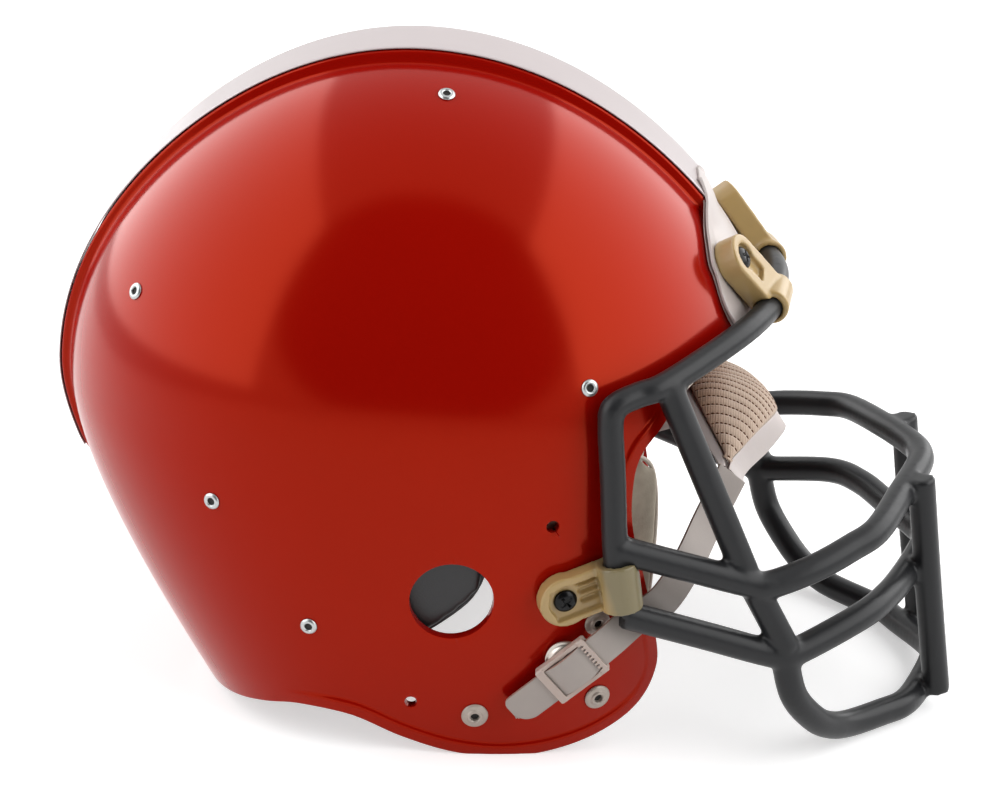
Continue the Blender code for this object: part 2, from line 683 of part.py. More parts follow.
# Loop clips
def loop_clip(side, place, hang, wire_way, sizes, clearances, holed):
    """A clip screwed down at one end that wraps round a mask wire at the other."""
    width, loop_width, bottom, thickness, loop_radius = sizes
    outward = dome_normal(place)
    where = frame(place, outward, hang - place)
    reach_to_wire = (hang - place).dot((where.to_3x3() @ Vector((1, 0, 0))))
    top = bottom + thickness
    clip = box(side + "_clip", (0, -loop_width / 2, bottom), (reach_to_wire, loop_width / 2, top), where, CLIP_TAN)
    boolean(clip, rod(side + "_tail", width / 2, top, bottom, where, steps=16), 'UNION')
    round_wire = frame(hang, wire_way, outward)
    boolean(clip, rod(side + "_loop", loop_radius, loop_width / 2, -loop_width / 2, round_wire, steps=16), 'UNION')
    for clearance in clearances:
        boolean(clip, clearance)
    return screw_and_nut(side, where, top, [clip, *holed])


def make_clips(clearances):
    pockets = []
    wires = [clearances["brow_and_side_wire"], clearances["upper_bar"], clearances["lower_bar"]]
    for side, hand in (("left", 1), ("right", -1)):
        place = on_side(SIDE_CLIP_FORWARD, -SIDE_CLIP_DROP, hand)
        foot = bar_point(SIDE_WIRE_SHARES[0], hand)
        knee = bar_point(SIDE_WIRE_SHARES[2], hand)
        share = (-SIDE_LOOP_DROP - foot.z) / (knee.z - foot.z)
        hang = foot.lerp(knee, share)
        sizes = (SIDE_CLIP_HEIGHT, SIDE_LOOP_HEIGHT, FIT, SIDE_CLIP_THICKNESS, BROW_WIRE_RADIUS + FIT + LOOP_WALL)
        pockets.append(loop_clip(f"{side}_side", place, hang, knee - foot, sizes, wires, [SHELL]))
        azimuth, height = BROW_CLIP_SHARES
        place = side_of(on_dome(azimuth * pi, height * DOME_TOP), hand)
        inner, outer = BROW_WIRE_SHARES[3], BROW_WIRE_SHARES[2]
        hang = side_of(brow_point(inner), hand)
        bottom = FIT + PLATE_THICKNESS + FIT
        radius = BROW_WIRE_RADIUS + FIT + BROW_LOOP_WALL
        sizes = (BROW_CLIP_WIDTH, BROW_CLIP_WIDTH, bottom, BROW_CLIP_THICKNESS, radius)
        way = side_of(brow_point(outer), hand) - side_of(brow_point(BROW_WIRE_SHARES[4]), hand)
        pockets.append(loop_clip(f"{side}_brow", place, hang, way, sizes, wires[:1], [PLATE, SHELL]))
    return pockets


def make_fasteners():
    pockets = []
    for side, hand in (("left", 1), ("right", -1)):
        for name, (forward, height) in RIVET_PLACES_SHARES.items():
            length = DOME_FRONT if forward > 0 else DOME_REAR
            place = on_side(length * forward, DOME_TOP * height, hand)
            pockets.append(rivet(f"{name}_rivet_{side}", place))
        for name, (forward, height) in WASHER_PLACES_SHARES.items():
            place = on_side(DOME_FRONT * forward, DOME_TOP * height, hand)
            pockets.append(washer(f"{name}_washer_{side}", place))
        pockets.append(snap_stud(f"snap_stud_{side}", on_side(SNAP_FORWARD, -SNAP_DROP, hand), hand))
    return pockets


# Liner pads
def edge_distance(share):
    return min(share, 1 - share)


def pad(name, azimuths, low, high, thickness, finish, pockets, columns=10, rows=7):
    """A pad between two azimuths, in degrees, from a lower to an upper height at each share across."""
    seat = SHELL_WALL + INNER_CLEARANCE
    shares = {}

    def place(across, up):
        azimuth = radians(azimuths[0] + (azimuths[1] - azimuths[0]) * across)
        point = raised(on_dome(azimuth, low(across) + (high(across) - low(across)) * up), -seat)
        shares[point.to_tuple(5)] = crown_share(across, up)
        return point

    cushion = sheet(name, columns, rows, place, finish)
    thicken(cushion, thickness, shares=lambda spot: shares[spot.to_tuple(5)])
    relieve(cushion, pockets)


def crown_share(across, up):
    """Thickness share of a crowned pad: drawn in at its edges, full over its middle."""
    rise = min(1, edge_distance(across) / PAD_SLOPE_SHARE) * min(1, edge_distance(up) / PAD_SLOPE_SHARE)
    return PAD_EDGE_SHARE + (1 - PAD_EDGE_SHARE) * sin(rise * pi / 2)


def crown_pad(pockets):
    seat = SHELL_WALL + INNER_CLEARANCE
    shares = {}

    def place(across, along):
        square = Vector((across * 2 - 1, along * 2 - 1))
        spread = Vector((square.x * (1 - square.y ** 2 / 2) ** 0.5, square.y * (1 - square.x ** 2 / 2) ** 0.5))
        aim = Vector((spread.x, spread.y, 1 / CROWN_PAD_SPREAD)).normalized()
        point = raised(reach(Vector((0, 0, 0)), aim), -seat)
        shares[point.to_tuple(5)] = crown_share(across, along)
        return point

    cushion = sheet("crown_pad", 9, 9, place, PAD_BLACK)
    thicken(cushion, CROWN_PAD_THICKNESS, shares=lambda spot: shares[spot.to_tuple(5)])
    relieve(cushion, pockets)


def relieve(cushion, pockets):
    """Cuts a pocket for each fastener whose inner end lies under the pad."""
    for pocket in pockets:
        spot = pocket.matrix_basis.translation
        gap = min((vert.co - spot).length for vert in cushion.data.vertices)
        if gap < PAD_POCKET_REACH:
            boolean(cushion, pocket)


def brow_low(across):
    """The brow pad's lower edge, which dips at both ends."""
    return BROW_PAD_LOW - BROW_PAD_DIP * (across * 2 - 1) ** 4


def side_low(across):
    """A side pad's lower edge, cut away at its front corner."""
    return SIDE_PAD_LOW + SIDE_PAD_CORNER * max(0, 1 - across / SIDE_PAD_CORNER_SHARE)


def make_pads(pockets):
    pad("brow_pad", (-40, 40), brow_low, lambda across: brow_low(across) + BROW_PAD_HEIGHT,
        BROW_PAD_THICKNESS, PAD_BLACK, pockets, 14, 6)
    crown_pad(pockets)
    pad("back_pad", (140, 220), lambda across: BACK_PAD_LOW, lambda across: BACK_PAD_HIGH,
        BACK_PAD_THICKNESS, PAD_BLACK, pockets, 13, 6)
    pad("nape_pad", (145, 215), lambda across: NAPE_PAD_LOW, lambda across: NAPE_PAD_HIGH,
        BACK_PAD_THICKNESS, PAD_BLACK, pockets, 12, 6)
    for side, hand in (("left", 1), ("right", -1)):
        pad(f"side_pad_{side}", (70 * hand, 125 * hand), side_low, lambda across: SIDE_PAD_HIGH,
            SIDE_PAD_THICKNESS, PAD_BLACK, pockets, 10, 9)
        pad(f"jaw_pad_{side}", (43 * hand, 66 * hand), lambda across: JAW_PAD_LOW, lambda across: JAW_PAD_HIGH,
            JAW_PAD_THICKNESS, PAD_BEIGE, pockets, 6, 10)


# Chin cup, straps, buckles and snap sockets, all on the swing axis
def with_swing(thing):
    thing.matrix_basis = Matrix.Translation(-SWING.location) @ thing.matrix_basis
    return thing


def cup_point(wide, along):
    """A point of the cup's upper face: its place across from the lining's middle, and along the wearer's left."""
    lean = radians(CUP_LEAN)
    bow = (along / CUP_HALF_LENGTH) ** 2
    middle = Vector((CUP_FORWARD - CUP_SWEEP * bow, along, -CUP_DROP - CUP_ARCH * bow))
    return middle + Vector((cos(lean), 0, -sin(lean))) * wide


def cup_up():
    lean = radians(CUP_LEAN)
    return Vector((sin(lean), 0, cos(lean)))


def make_cup():
    def body(across, along):
        share = along * 2 - 1
        half = STRAP_WIDTH / 2 + (CUP_HALF_WIDTH - STRAP_WIDTH / 2) * (1 - share ** 2)
        return cup_point(CUP_OFFSET + half * (across * 2 - 1), CUP_HALF_LENGTH * share)

    cup = with_swing(sheet("chin_cup", 6, 16, body, VINYL_WHITE, SWING))
    thicken(cup, CUP_WALL)
    shares = {}

    def knit(across, along):
        share = along * 2 - 1
        half = LINING_HALF_WIDTH * (1 - abs(share) ** LINING_FULLNESS)
        point = cup_point(half * (across * 2 - 1), LINING_HALF_LENGTH * share) + cup_up() * FIT
        shares[point.to_tuple(5)] = crown_share(across, along)
        return point

    lining = with_swing(sheet("chin_cup_lining", 6, 14, knit, KNIT_BEIGE, SWING))
    thicken(lining, LINING_THICKNESS, 1.0, lambda spot: shares[spot.to_tuple(5)])


def buckle_way():
    tilt = radians(BUCKLE_TILT)
    return Vector((cos(tilt), 0, sin(tilt)))


def strap_plane():
    """How far out from the middle plane the strap lies in its buckle."""
    shell = on_side(SNAP_FORWARD, -SNAP_DROP, 1).y
    return shell + SOCKET_STANDOFF + SOCKET_HEIGHT + FIT + BUCKLE_THICKNESS / 2


def buckle_middle(hand):
    return Vector((SNAP_FORWARD + BUCKLE_OFFSET_FORWARD, strap_plane() * hand, -SNAP_DROP - BUCKLE_OFFSET_DROP))


def strap_line():
    """The left strap's centre line, from the cup's end through the buckle to the tail."""
    before = cup_point(CUP_OFFSET, CUP_HALF_LENGTH - PROBE)
    end = cup_point(CUP_OFFSET, CUP_HALF_LENGTH)
    first = end + (end - before).normalized() * FIT - cup_up() * CUP_WALL / 2
    line = [first]
    for forward, width, height in STRAP_SHARES:
        ahead = SNAP_FORWARD + (CUP_FORWARD - SNAP_FORWARD) * forward
        line.append(Vector((ahead, half_width(width), MASK_HEIGHT * height - DOME_TO_FLOOR)))
    for run in (BUCKLE_LENGTH / 2 + FIT, 0, -BUCKLE_LENGTH / 2 - FIT, -STRAP_TAIL):
        line.append(buckle_middle(1) + buckle_way() * run)
    return line


def make_strap(side, hand):
    line = [side_of(point, hand) for point in smooth_line(strap_line(), 2)]
    last = len(line) - 1
    cup_edge = cup_point(1, 0) - cup_point(0, 0)
    buckle_edge = Vector((buckle_way().z, 0, -buckle_way().x))

    def place(across, along):
        edge = cup_edge.lerp(buckle_edge, min(1, along / STRAP_TURN_SHARE)).normalized()
        return line[round(along * last)] + edge * STRAP_WIDTH * (across - 1 / 2)

    strap = with_swing(sheet(f"chin_strap_{side}", 1, last, place, STRAP_WHITE, SWING))
    thicken(strap, STRAP_THICKNESS, 0.0)


def make_buckle(side, hand):
    where = frame(buckle_middle(hand), Vector((0, hand, 0)), buckle_way())
    long = BUCKLE_LENGTH / 2
    wide = BUCKLE_WIDTH / 2
    deep = BUCKLE_THICKNESS / 2
    buckle = with_swing(box(f"buckle_{side}", (-long, -wide, -deep), (long, wide, deep), where, STRAP_WHITE, SWING))
    slot_wide = STRAP_WIDTH / 2 + FIT
    slot_deep = STRAP_THICKNESS / 2 + FIT
    run = long + OVERRUN
    boolean(buckle, box(f"buckle_slot_{side}", (-run, -slot_wide, -slot_deep), (run, slot_wide, slot_deep), where))
    window = BUCKLE_WINDOW / 2
    boolean(buckle, box(f"buckle_window_{side}", (-window, -slot_wide, 0), (window, slot_wide, OVERRUN), where))


def make_socket(side, hand):
    seat = on_side(SNAP_FORWARD, -SNAP_DROP, hand)
    seat.y += SOCKET_STANDOFF * hand
    bore = SNAP_POST_RADIUS + FIT
    floor = SOCKET_HEIGHT - SOCKET_FLOOR
    profile = [
        (0, SOCKET_HEIGHT), (SOCKET_RADIUS, SOCKET_HEIGHT), (SOCKET_RADIUS, 0), (bore, 0), (bore, floor), (0, floor)]
    where = frame(seat, Vector((0, hand, 0)), Vector((0, 0, 1)))
    with_swing(turned(f"snap_socket_{side}", profile, where, NUT_STEEL, SWING, steps=18))


def stand_on_floor():
    """Puts the middle of the model's box over the origin."""
    bpy.context.view_layer.update()
    graph = bpy.context.evaluated_depsgraph_get()
    reaches = []
    for thing in PARTS.objects:
        if thing.type == 'MESH':
            shape = thing.evaluated_get(graph)
            reaches += [(shape.matrix_world @ vert.co).x for vert in shape.data.vertices]
    HELMET.location.x -= (min(reaches) + max(reaches)) / 2


FLOOR_REACH = DOME_FRONT + MASK_STANDOFF + OVERRUN
FLOOR_CUTTER = box(
    "floor_cutter", (-FLOOR_REACH, -FLOOR_REACH, -DOME_TO_FLOOR - OVERRUN),
    (FLOOR_REACH, FLOOR_REACH, -DOME_TO_FLOOR), Matrix())
WIRE_CLEARANCES = make_mask()
SHELL = make_shell()
make_stripe()
PLATE = make_plate()
POCKETS = make_clips(WIRE_CLEARANCES) + make_fasteners()
make_pads(POCKETS)
make_cup()
for side, hand in (("left", 1), ("right", -1)):
    make_strap(side, hand)
    make_buckle(side, hand)
    make_socket(side, hand)
stand_on_floor()
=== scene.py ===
"""Football helmet on a pale floor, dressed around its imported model.

The helmet faces +X, its left side is +Y, and +Z is up. Places on it are measured from the middle of its dome,
which lies on the mirror plane, above and behind the axis that the chin strap swings on.
"""
import json
from math import cos, hypot, inf, pi, radians, sin

import bmesh
import bpy
import numpy as np
from mathutils import Matrix, Vector


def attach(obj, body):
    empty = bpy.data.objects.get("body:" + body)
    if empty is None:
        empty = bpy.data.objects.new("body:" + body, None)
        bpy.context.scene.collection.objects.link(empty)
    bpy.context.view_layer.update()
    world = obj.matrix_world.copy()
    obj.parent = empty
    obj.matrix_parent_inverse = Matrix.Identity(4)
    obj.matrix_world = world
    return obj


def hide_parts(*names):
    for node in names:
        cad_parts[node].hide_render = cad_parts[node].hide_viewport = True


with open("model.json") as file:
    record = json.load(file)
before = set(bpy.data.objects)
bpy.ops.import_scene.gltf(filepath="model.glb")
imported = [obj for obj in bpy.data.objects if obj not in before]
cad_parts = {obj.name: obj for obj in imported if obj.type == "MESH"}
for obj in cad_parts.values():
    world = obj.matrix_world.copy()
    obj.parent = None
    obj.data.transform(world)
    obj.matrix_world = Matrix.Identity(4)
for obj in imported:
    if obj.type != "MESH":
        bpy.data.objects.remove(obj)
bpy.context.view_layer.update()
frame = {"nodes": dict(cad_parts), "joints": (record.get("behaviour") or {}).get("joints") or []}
MM = 0.001

# Camera: a long portrait lens a metre off the right side, looking down a little, and tilted with its tripod.
CAMERA_PLACE = Vector((-1.4, -1076.4, 536.3)) * MM
CAMERA_AIM = Vector((-0.0062, 0.9299, -0.3677))
CAMERA_ROLL = 4.13
CAMERA_LENS = 100.0
SENSOR_WIDTH = 36.0


def add_object(name, data):
    made = bpy.data.objects.new(name, data)
    bpy.context.scene.collection.objects.link(made)
    return made


lens = bpy.data.cameras.new("portrait_lens")
lens.lens = CAMERA_LENS
lens.sensor_width = SENSOR_WIDTH
camera = add_object("camera", lens)
camera.location = CAMERA_PLACE
level = CAMERA_AIM.to_track_quat('-Z', 'Y').to_matrix().to_4x4()
camera.rotation_euler = (level @ Matrix.Rotation(radians(CAMERA_ROLL), 4, 'Z')).to_euler()
bpy.context.scene.camera = camera


# Floor and lights: a sheet of pale studio paper under a plain white room, with a wall of soft light on each side.
# A broad dark patch of the room, round where the photographer stood, shows in the polish as a soft oval.
FLOOR_HALF = 6.0
PAPER_COLOUR = (0.75, 0.75, 0.75)
PAPER_GLOW = 0.5
ROOM_LEVEL = 0.45
DARK_PATCH_WAY = (0.02, -0.86, 0.5)
DARK_PATCH_SPREAD = (0.765, 0.835)
DARK_PATCH_LEVEL = 0.06


def tune(made, **settings):
    """Sets a shader node's properties, and its sockets by their names in small letters."""
    for key, value in settings.items():
        if hasattr(made, key):
            setattr(made, key, value)
        else:
            made.inputs[key.replace("_", " ").title().replace("Ior", "IOR")].default_value = value
    return made


def node(tree, kind, **settings):
    return tune(tree.nodes.new("ShaderNode" + kind), **settings)


def wire_up(tree, start, output, end, entry):
    tree.links.new(start.outputs[output], end.inputs[entry])


def seen_directly(tree):
    """One where the lens sees a surface, also in a polished or a clear one, and zero where it only lights."""
    path = node(tree, "LightPath")
    reflected = node(tree, "Math", operation='MAXIMUM')
    wire_up(tree, path, "Is Camera Ray", reflected, 0)
    wire_up(tree, path, "Is Glossy Ray", reflected, 1)
    seen = node(tree, "Math", operation='MAXIMUM')
    wire_up(tree, reflected, 0, seen, 0)
    wire_up(tree, path, "Is Transmission Ray", seen, 1)
    return seen


def blank_finish(name):
    """A new material, its tree of nodes and its one shader."""
    finish = bpy.data.materials.new(name)
    finish.use_nodes = True
    return finish, finish.node_tree, finish.node_tree.nodes["Principled BSDF"]


def paper():
    """Studio paper that the lens sees as white, and that still takes the helmet's shadow."""
    finish, tree, shader = blank_finish("studio_paper")
    tune(shader, base_color=(*PAPER_COLOUR, 1), roughness=0.9, specular_ior_level=0.0,
         emission_color=(1, 1, 1, 1))
    glow = node(tree, "Math", operation='MULTIPLY')
    wire_up(tree, seen_directly(tree), 0, glow, 0)
    glow.inputs[1].default_value = PAPER_GLOW
    wire_up(tree, glow, 0, shader, "Emission Strength")
    return finish


def studio():
    """A room that is white to the lens, of a lower level where it lights, and dark round the photographer."""
    made = bpy.data.worlds.new("studio")
    made.use_nodes = True
    tree = made.node_tree
    sky = tree.nodes["Background"]
    sky.inputs["Color"].default_value = (1, 1, 1, 1)
    towards = node(tree, "TexCoord")
    turn = node(tree, "VectorMath", operation='DOT_PRODUCT')
    wire_up(tree, towards, "Generated", turn, 0)
    turn.inputs[1].default_value = tuple(Vector(DARK_PATCH_WAY).normalized())
    start, end = DARK_PATCH_SPREAD
    patch = node(tree, "MapRange", interpolation_type='SMOOTHSTEP', from_min=start, from_max=end, to_min=1.0,
                 to_max=DARK_PATCH_LEVEL)
    wire_up(tree, turn, "Value", patch, "Value")
    level = node(tree, "MapRange", to_min=ROOM_LEVEL, to_max=1.0)
    wire_up(tree, seen_directly(tree), 0, level, "Value")
    strength = node(tree, "Math", operation='MULTIPLY')
    wire_up(tree, patch, "Result", strength, 0)
    wire_up(tree, level, "Result", strength, 1)
    wire_up(tree, strength, 0, sky, "Strength")
    return made


ground = bpy.data.meshes.new("floor")
ground.from_pydata([(x * FLOOR_HALF, y * FLOOR_HALF, 0) for x, y in ((-1, -1), (1, -1), (1, 1), (-1, 1))], [],
                   [(0, 1, 2, 3)])
ground.materials.append(paper())
floor = add_object("floor", ground)
bpy.context.scene.world = studio()
bpy.context.scene.view_settings.view_transform = 'Standard'


def light_wall(name, place, aim, width, height, power):
    """A rectangular soft light at a place, turned to a point, in metres and watts."""
    lamp = bpy.data.lights.new(name, 'AREA')
    lamp.shape = 'RECTANGLE'
    lamp.size = width
    lamp.size_y = height
    lamp.energy = power
    holder = add_object(name, lamp)
    holder.location = place
    holder.rotation_euler = (Vector(aim) - Vector(place)).to_track_quat('-Z', 'Y').to_euler()


light_wall("front_wall", (1.2, 0.49, 1.4), (0, 0.49, 1.4), 3.9, 2.1, 62)
light_wall("rear_wall", (-1.2, 0.44, 1.25), (0, 0.44, 1.25), 3.7, 2.2, 50)


# Shell: one thick moulding in impact-proof plastic, red right through and polished outside. It is domed over
# the head, tucked in at the nape and cheeks, and its edge is stepped up into a low bead round the side flaps.
swing_place = Vector(next(joint for joint in frame["joints"] if joint["name"] == "strap_swing")["pos_m"])
SNAP_FORWARD = 71 * MM
SNAP_DROP = 77 * MM
MIDDLE = swing_place - Vector((SNAP_FORWARD, 0, -SNAP_DROP))
DOME_FRONT = 149 * MM
DOME_REAR = 140.5 * MM
DOME_HALF_WIDTH = 115 * MM
DOME_TOP = 136.5 * MM
DOME_TO_FLOOR = 122 * MM
SHELL_WALL = 4 * MM
PLAN_SQUARENESS = 2.12
NAPE_SQUARENESS = 0.45
SHOULDER_FLAT_SHARE = 0.028
NAPE_TUCK_START = 115 * MM
NAPE_TUCK_RUN = 163 * MM
CHEEK_TUCK = 422 * MM
FACE_TUCK = 400 * MM
EAR_HOLE_RADIUS = 16.3 * MM
EAR_HOLE_PLACE = (25 * MM, -52.5 * MM)
PLAIN_HOLE_RADIUS = 2.5 * MM
PLAIN_HOLE_PLACES = [(61.6 * MM, -20.3 * MM), (11.6 * MM, -99 * MM)]
# How far round a hole, in shares of its radius, the grid is finer and the cut edge is looked for
FINER_SHARE = 2.2
EDGE_SHARE = 2.4
SHELL_COLUMNS = 384
SHELL_ROWS = 56
CROWN_RING = 0.3
CROWN_ROWS = 9
SPREAD_PASSES = 2500
# How far in from the rim its rows of points lie, in millimetres, from the innermost out
RIM_STEPS = [12.2, 10.2, 8.6, 7.4, 6.5, 5.8, 5.1, 4.4, 3.6, 2.7, 1.8, 0.9, 0]
BEAD_WIDTH = 5.2 * MM
BEAD_SLOPE = 1.2 * MM
BEAD_HEIGHT = 0.9 * MM
SHELL_EDGE = 1.1 * MM
SHARP_ANGLE = 40
RED = (0.31, 0.003, 0.0008)
RED_SHINE = (1.0, 0.13, 0.05)
RED_INSIDE = (0.30, 0.012, 0.005)

# Rim from the brow round one side to the nape: share of a half turn, height as a share of the drop from the
# dome's middle to the floor, and the share of a half turn where the column of points above it starts
RIM_SHARES = [
    (0.000, 0.318, 0.000), (0.070, 0.318, 0.070), (0.130, 0.312, 0.130), (0.190, 0.258, 0.190),
    (0.226, 0.137, 0.232), (0.249, 0.050, 0.262), (0.256, -0.065, 0.282), (0.253, -0.202, 0.298),
    (0.236, -0.388, 0.315), (0.217, -0.583, 0.330), (0.208, -0.720, 0.345), (0.221, -0.843, 0.362),
    (0.259, -0.935, 0.385), (0.309, -0.990, 0.410), (0.361, -1.008, 0.435), (0.417, -0.990, 0.470),
    (0.476, -0.940, 0.510), (0.536, -0.872, 0.555), (0.594, -0.863, 0.605), (0.641, -0.892, 0.648),
    (0.688, -0.922, 0.691), (0.744, -0.947, 0.746), (0.800, -0.965, 0.800), (0.850, -0.977, 0.850),
    (0.900, -0.985, 0.900), (0.950, -0.989, 0.950), (1.000, -0.990, 1.000)]


# Where the bead starts and ends on the way from brow to nape, in shares of a half turn
BEAD_START_SHARES = (0.19, 0.24)
BEAD_END_SHARES = (0.54, 0.62)


def length_of(rows):
    return np.linalg.norm(rows, axis=-1)


def unit(rows):
    return rows / length_of(rows)[..., None]


def eased(share):
    """A share held between 0 and 1, with a soft start and end."""
    share = np.clip(share, 0, 1)
    return share * share * (3 - 2 * share)


def dome_field(points):
    """Zero on the shell's outer face and below zero inside it, for rows of x, y and z."""
    x, y, z = np.moveaxis(points, -1, 0)
    drop = np.maximum(-z, 0)
    front = DOME_FRONT * (1 - (drop / FACE_TUCK) ** 2)
    rear = DOME_REAR * (1 - drop ** 2 / (NAPE_TUCK_START ** 2 + NAPE_TUCK_RUN * drop))
    half_length = np.where(x > 0, front, rear)
    half_width = DOME_HALF_WIDTH * (1 - (drop / CHEEK_TUCK) ** 2)
    power = PLAN_SQUARENESS + NAPE_SQUARENESS * np.minimum(1, drop / DOME_TO_FLOOR)
    plan = (np.abs(x / half_length) ** power + np.abs(y / half_width) ** power) ** (1 / power)
    rise = np.maximum(z, 0) / DOME_TOP
    flat = SHOULDER_FLAT_SHARE * np.sin(2 * np.arctan2(rise, plan)) ** 2
    return np.hypot(plan, rise) / (1 - flat) - 1


def reach(start, way):
    """Where lines from inside the shell leave its outer face."""
    start, way = np.broadcast_arrays(np.asarray(start, float), np.asarray(way, float))
    near = np.zeros(start.shape[:-1])
    far = near + DOME_FRONT + DOME_REAR
    for _ in range(40):
        middle = (near + far) / 2
        inside = dome_field(start + way * middle[..., None]) < 0
        near = np.where(inside, middle, near)
        far = np.where(inside, far, middle)
    return start + way * near[..., None]


def from_middle(way):
    """The points of the outer face that lie some ways from the dome's middle."""
    return reach((0, 0, 0), unit(way))


def field_slope(points):
    step = 0.2 * MM
    return np.stack([dome_field(points + step * axis) - dome_field(points - step * axis)
                     for axis in np.eye(3)], axis=-1) / (2 * step)


def normals(points):
    """The way out of the outer face at each point."""
    return unit(field_slope(points))


def heading(azimuth, elevation=0.0):
    azimuth, elevation = np.broadcast_arrays(azimuth, elevation)
    return np.stack([np.cos(azimuth) * np.cos(elevation), np.sin(azimuth) * np.cos(elevation),
                     np.sin(elevation)], axis=-1)


def on_dome(azimuth, height, out=0.0):
    """A point of the outer face at an azimuth and a height, or so far out from it."""
    azimuth, height = np.broadcast_arrays(np.asarray(azimuth, float), np.asarray(height, float))
    start = np.stack([azimuth * 0, azimuth * 0, height], axis=-1)
    place = reach(start, heading(azimuth))
    return place + normals(place) * np.asarray(out)[..., None]


def on_side(forward, height, hand):
    """The point of the outer face level with a place on the middle plane."""
    return Vector(reach((forward, 0, height), (0, hand, 0)))


def out_of(place):
    return Vector(normals(np.array(place)))


def curve_through(table, count):
    """Rows on a smooth curve through the rows of a table, its ends level."""
    rows = np.array(table, float)
    rows = np.vstack([2 * rows[0] - rows[1], rows, 2 * rows[-1] - rows[-2]])
    share = np.linspace(0, len(table) - 1, count)
    first = np.minimum(share.astype(int), len(table) - 2)
    t = (share - first)[:, None]
    before, start, end, after = (rows[first + step] for step in range(4))
    return (2 * start + (end - before) * t + (2 * before - 5 * start + 4 * end - after) * t ** 2
            + (3 * start - before - 3 * end + after) * t ** 3) / 2


def mesh_of(name, part, smooth=True):
    """A mesh from a pair of lists, its vertices and its faces."""
    mesh = bpy.data.meshes.new(name)
    mesh.from_pydata(part[0], [], part[1])
    if smooth:
        mesh.shade_smooth()
    return mesh


def grid_mesh(name, points, around=False):
    """A mesh of quads over rows of points, closed round if asked."""
    rows, columns = points.shape[:2]
    faces = []
    for row in range(rows - 1):
        for column in range(columns if around else columns - 1):
            here, beside = row * columns + column, row * columns + (column + 1) % columns
            faces.append((here, beside, beside + columns, here + columns))
    return mesh_of(name, (points.reshape(-1, 3).tolist(), faces))


def piece(name, mesh, finishes, body="helmet", stands_for=(), where=Matrix()):
    """Adds a mesh as a piece that moves with a body and takes the place of its plain solids."""
    thing = add_object(name, mesh)
    thing.matrix_basis = Matrix.Translation(MIDDLE) @ where
    if not mesh.materials:
        for finish in finishes:
            mesh.materials.append(finish)
    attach(thing, body)
    if stands_for:
        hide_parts(*stands_for)
    return thing


def thicken(thing, thickness, offset=-1.0, edge=0.0, edge_steps=3, inside_finish=False):
    """Gives a sheet its thickness, and rounds its edges."""
    solid = thing.modifiers.new("thickness", 'SOLIDIFY')
    solid.thickness = thickness
    solid.offset = offset
    solid.material_offset = 1 if inside_finish else 0
    if edge:
        round_edges(thing, edge, edge_steps)


def round_edges(thing, width, steps=3):
    edge = thing.modifiers.new("rounded edges", 'BEVEL')
    edge.width = width
    edge.segments = steps
    edge.limit_method = 'ANGLE'
    edge.angle_limit = radians(SHARP_ANGLE)
    edge.harden_normals = False


def moulded(name, colour, roughness, grain=0.0, grain_size=0.4, tint=0.0, tint_size=20.0, metallic=0.0,
            coat=0.0, glow_through=0.0, shine=(1, 1, 1), density=1.5):
    """A finish with a fine surface grain and a slow drift in shade, both sized in millimetres."""
    finish, tree, shader = blank_finish(name)
    tune(shader, roughness=roughness, metallic=metallic, coat_weight=coat, coat_roughness=0.08, ior=density,
         specular_tint=(*shine, 1), subsurface_weight=glow_through, subsurface_radius=(1.0, 0.7, 0.35),
         subsurface_scale=3 * MM)
    spot = node(tree, "TexCoord")
    drift = node(tree, "TexNoise", scale=1 / (tint_size * MM), detail=3.0)
    wire_up(tree, spot, "Object", drift, "Vector")
    shade = node(tree, "MixRGB", color1=(*[level * (1 - tint) for level in colour], 1),
                 color2=(*[min(1, level * (1 + tint)) for level in colour], 1))
    wire_up(tree, drift, "Fac", shade, 0)
    wire_up(tree, shade, 0, shader, "Base Color")
    fine = node(tree, "TexNoise", scale=1 / (grain_size * MM), detail=2.0)
    wire_up(tree, spot, "Object", fine, "Vector")
    relief = node(tree, "Bump", strength=1.0, distance=grain * MM)
    wire_up(tree, fine, "Fac", relief, "Height")
    wire_up(tree, relief, "Normal", shader, "Normal")
    return finish


def spread_grid(edge, ring):
    """Rows of directions between a ring round the crown and the rim's rows, spread so that none cross."""
    grid = ring + (edge - ring) * np.linspace(0, 1, SHELL_ROWS)[:, None]
    for _ in range(SPREAD_PASSES):
        left, right = np.roll(grid, 1, axis=1), np.roll(grid, -1, axis=1)
        across, down = (right - left)[1:-1] / 2, (grid[2:] - grid[:-2]) / 2
        twist = (right[2:] - left[2:] - right[:-2] + left[:-2]) / 4
        steep, wide = np.abs(down) ** 2, np.abs(across) ** 2
        slant = (across * down.conj()).real
        grid[1:-1] = (steep * (left + right)[1:-1] + wide * (grid[2:] + grid[:-2]) - 2 * slant * twist) \
            / (2 * (steep + wide))
    length = np.cumsum(np.vstack([np.zeros(SHELL_COLUMNS), np.abs(np.diff(grid, axis=0))]), axis=0)
    even = np.linspace(0, 1, SHELL_ROWS)
    for column in range(SHELL_COLUMNS):
        grid[:, column] = np.interp(even * length[-1, column], length[:, column], grid[:, column])
    return grid


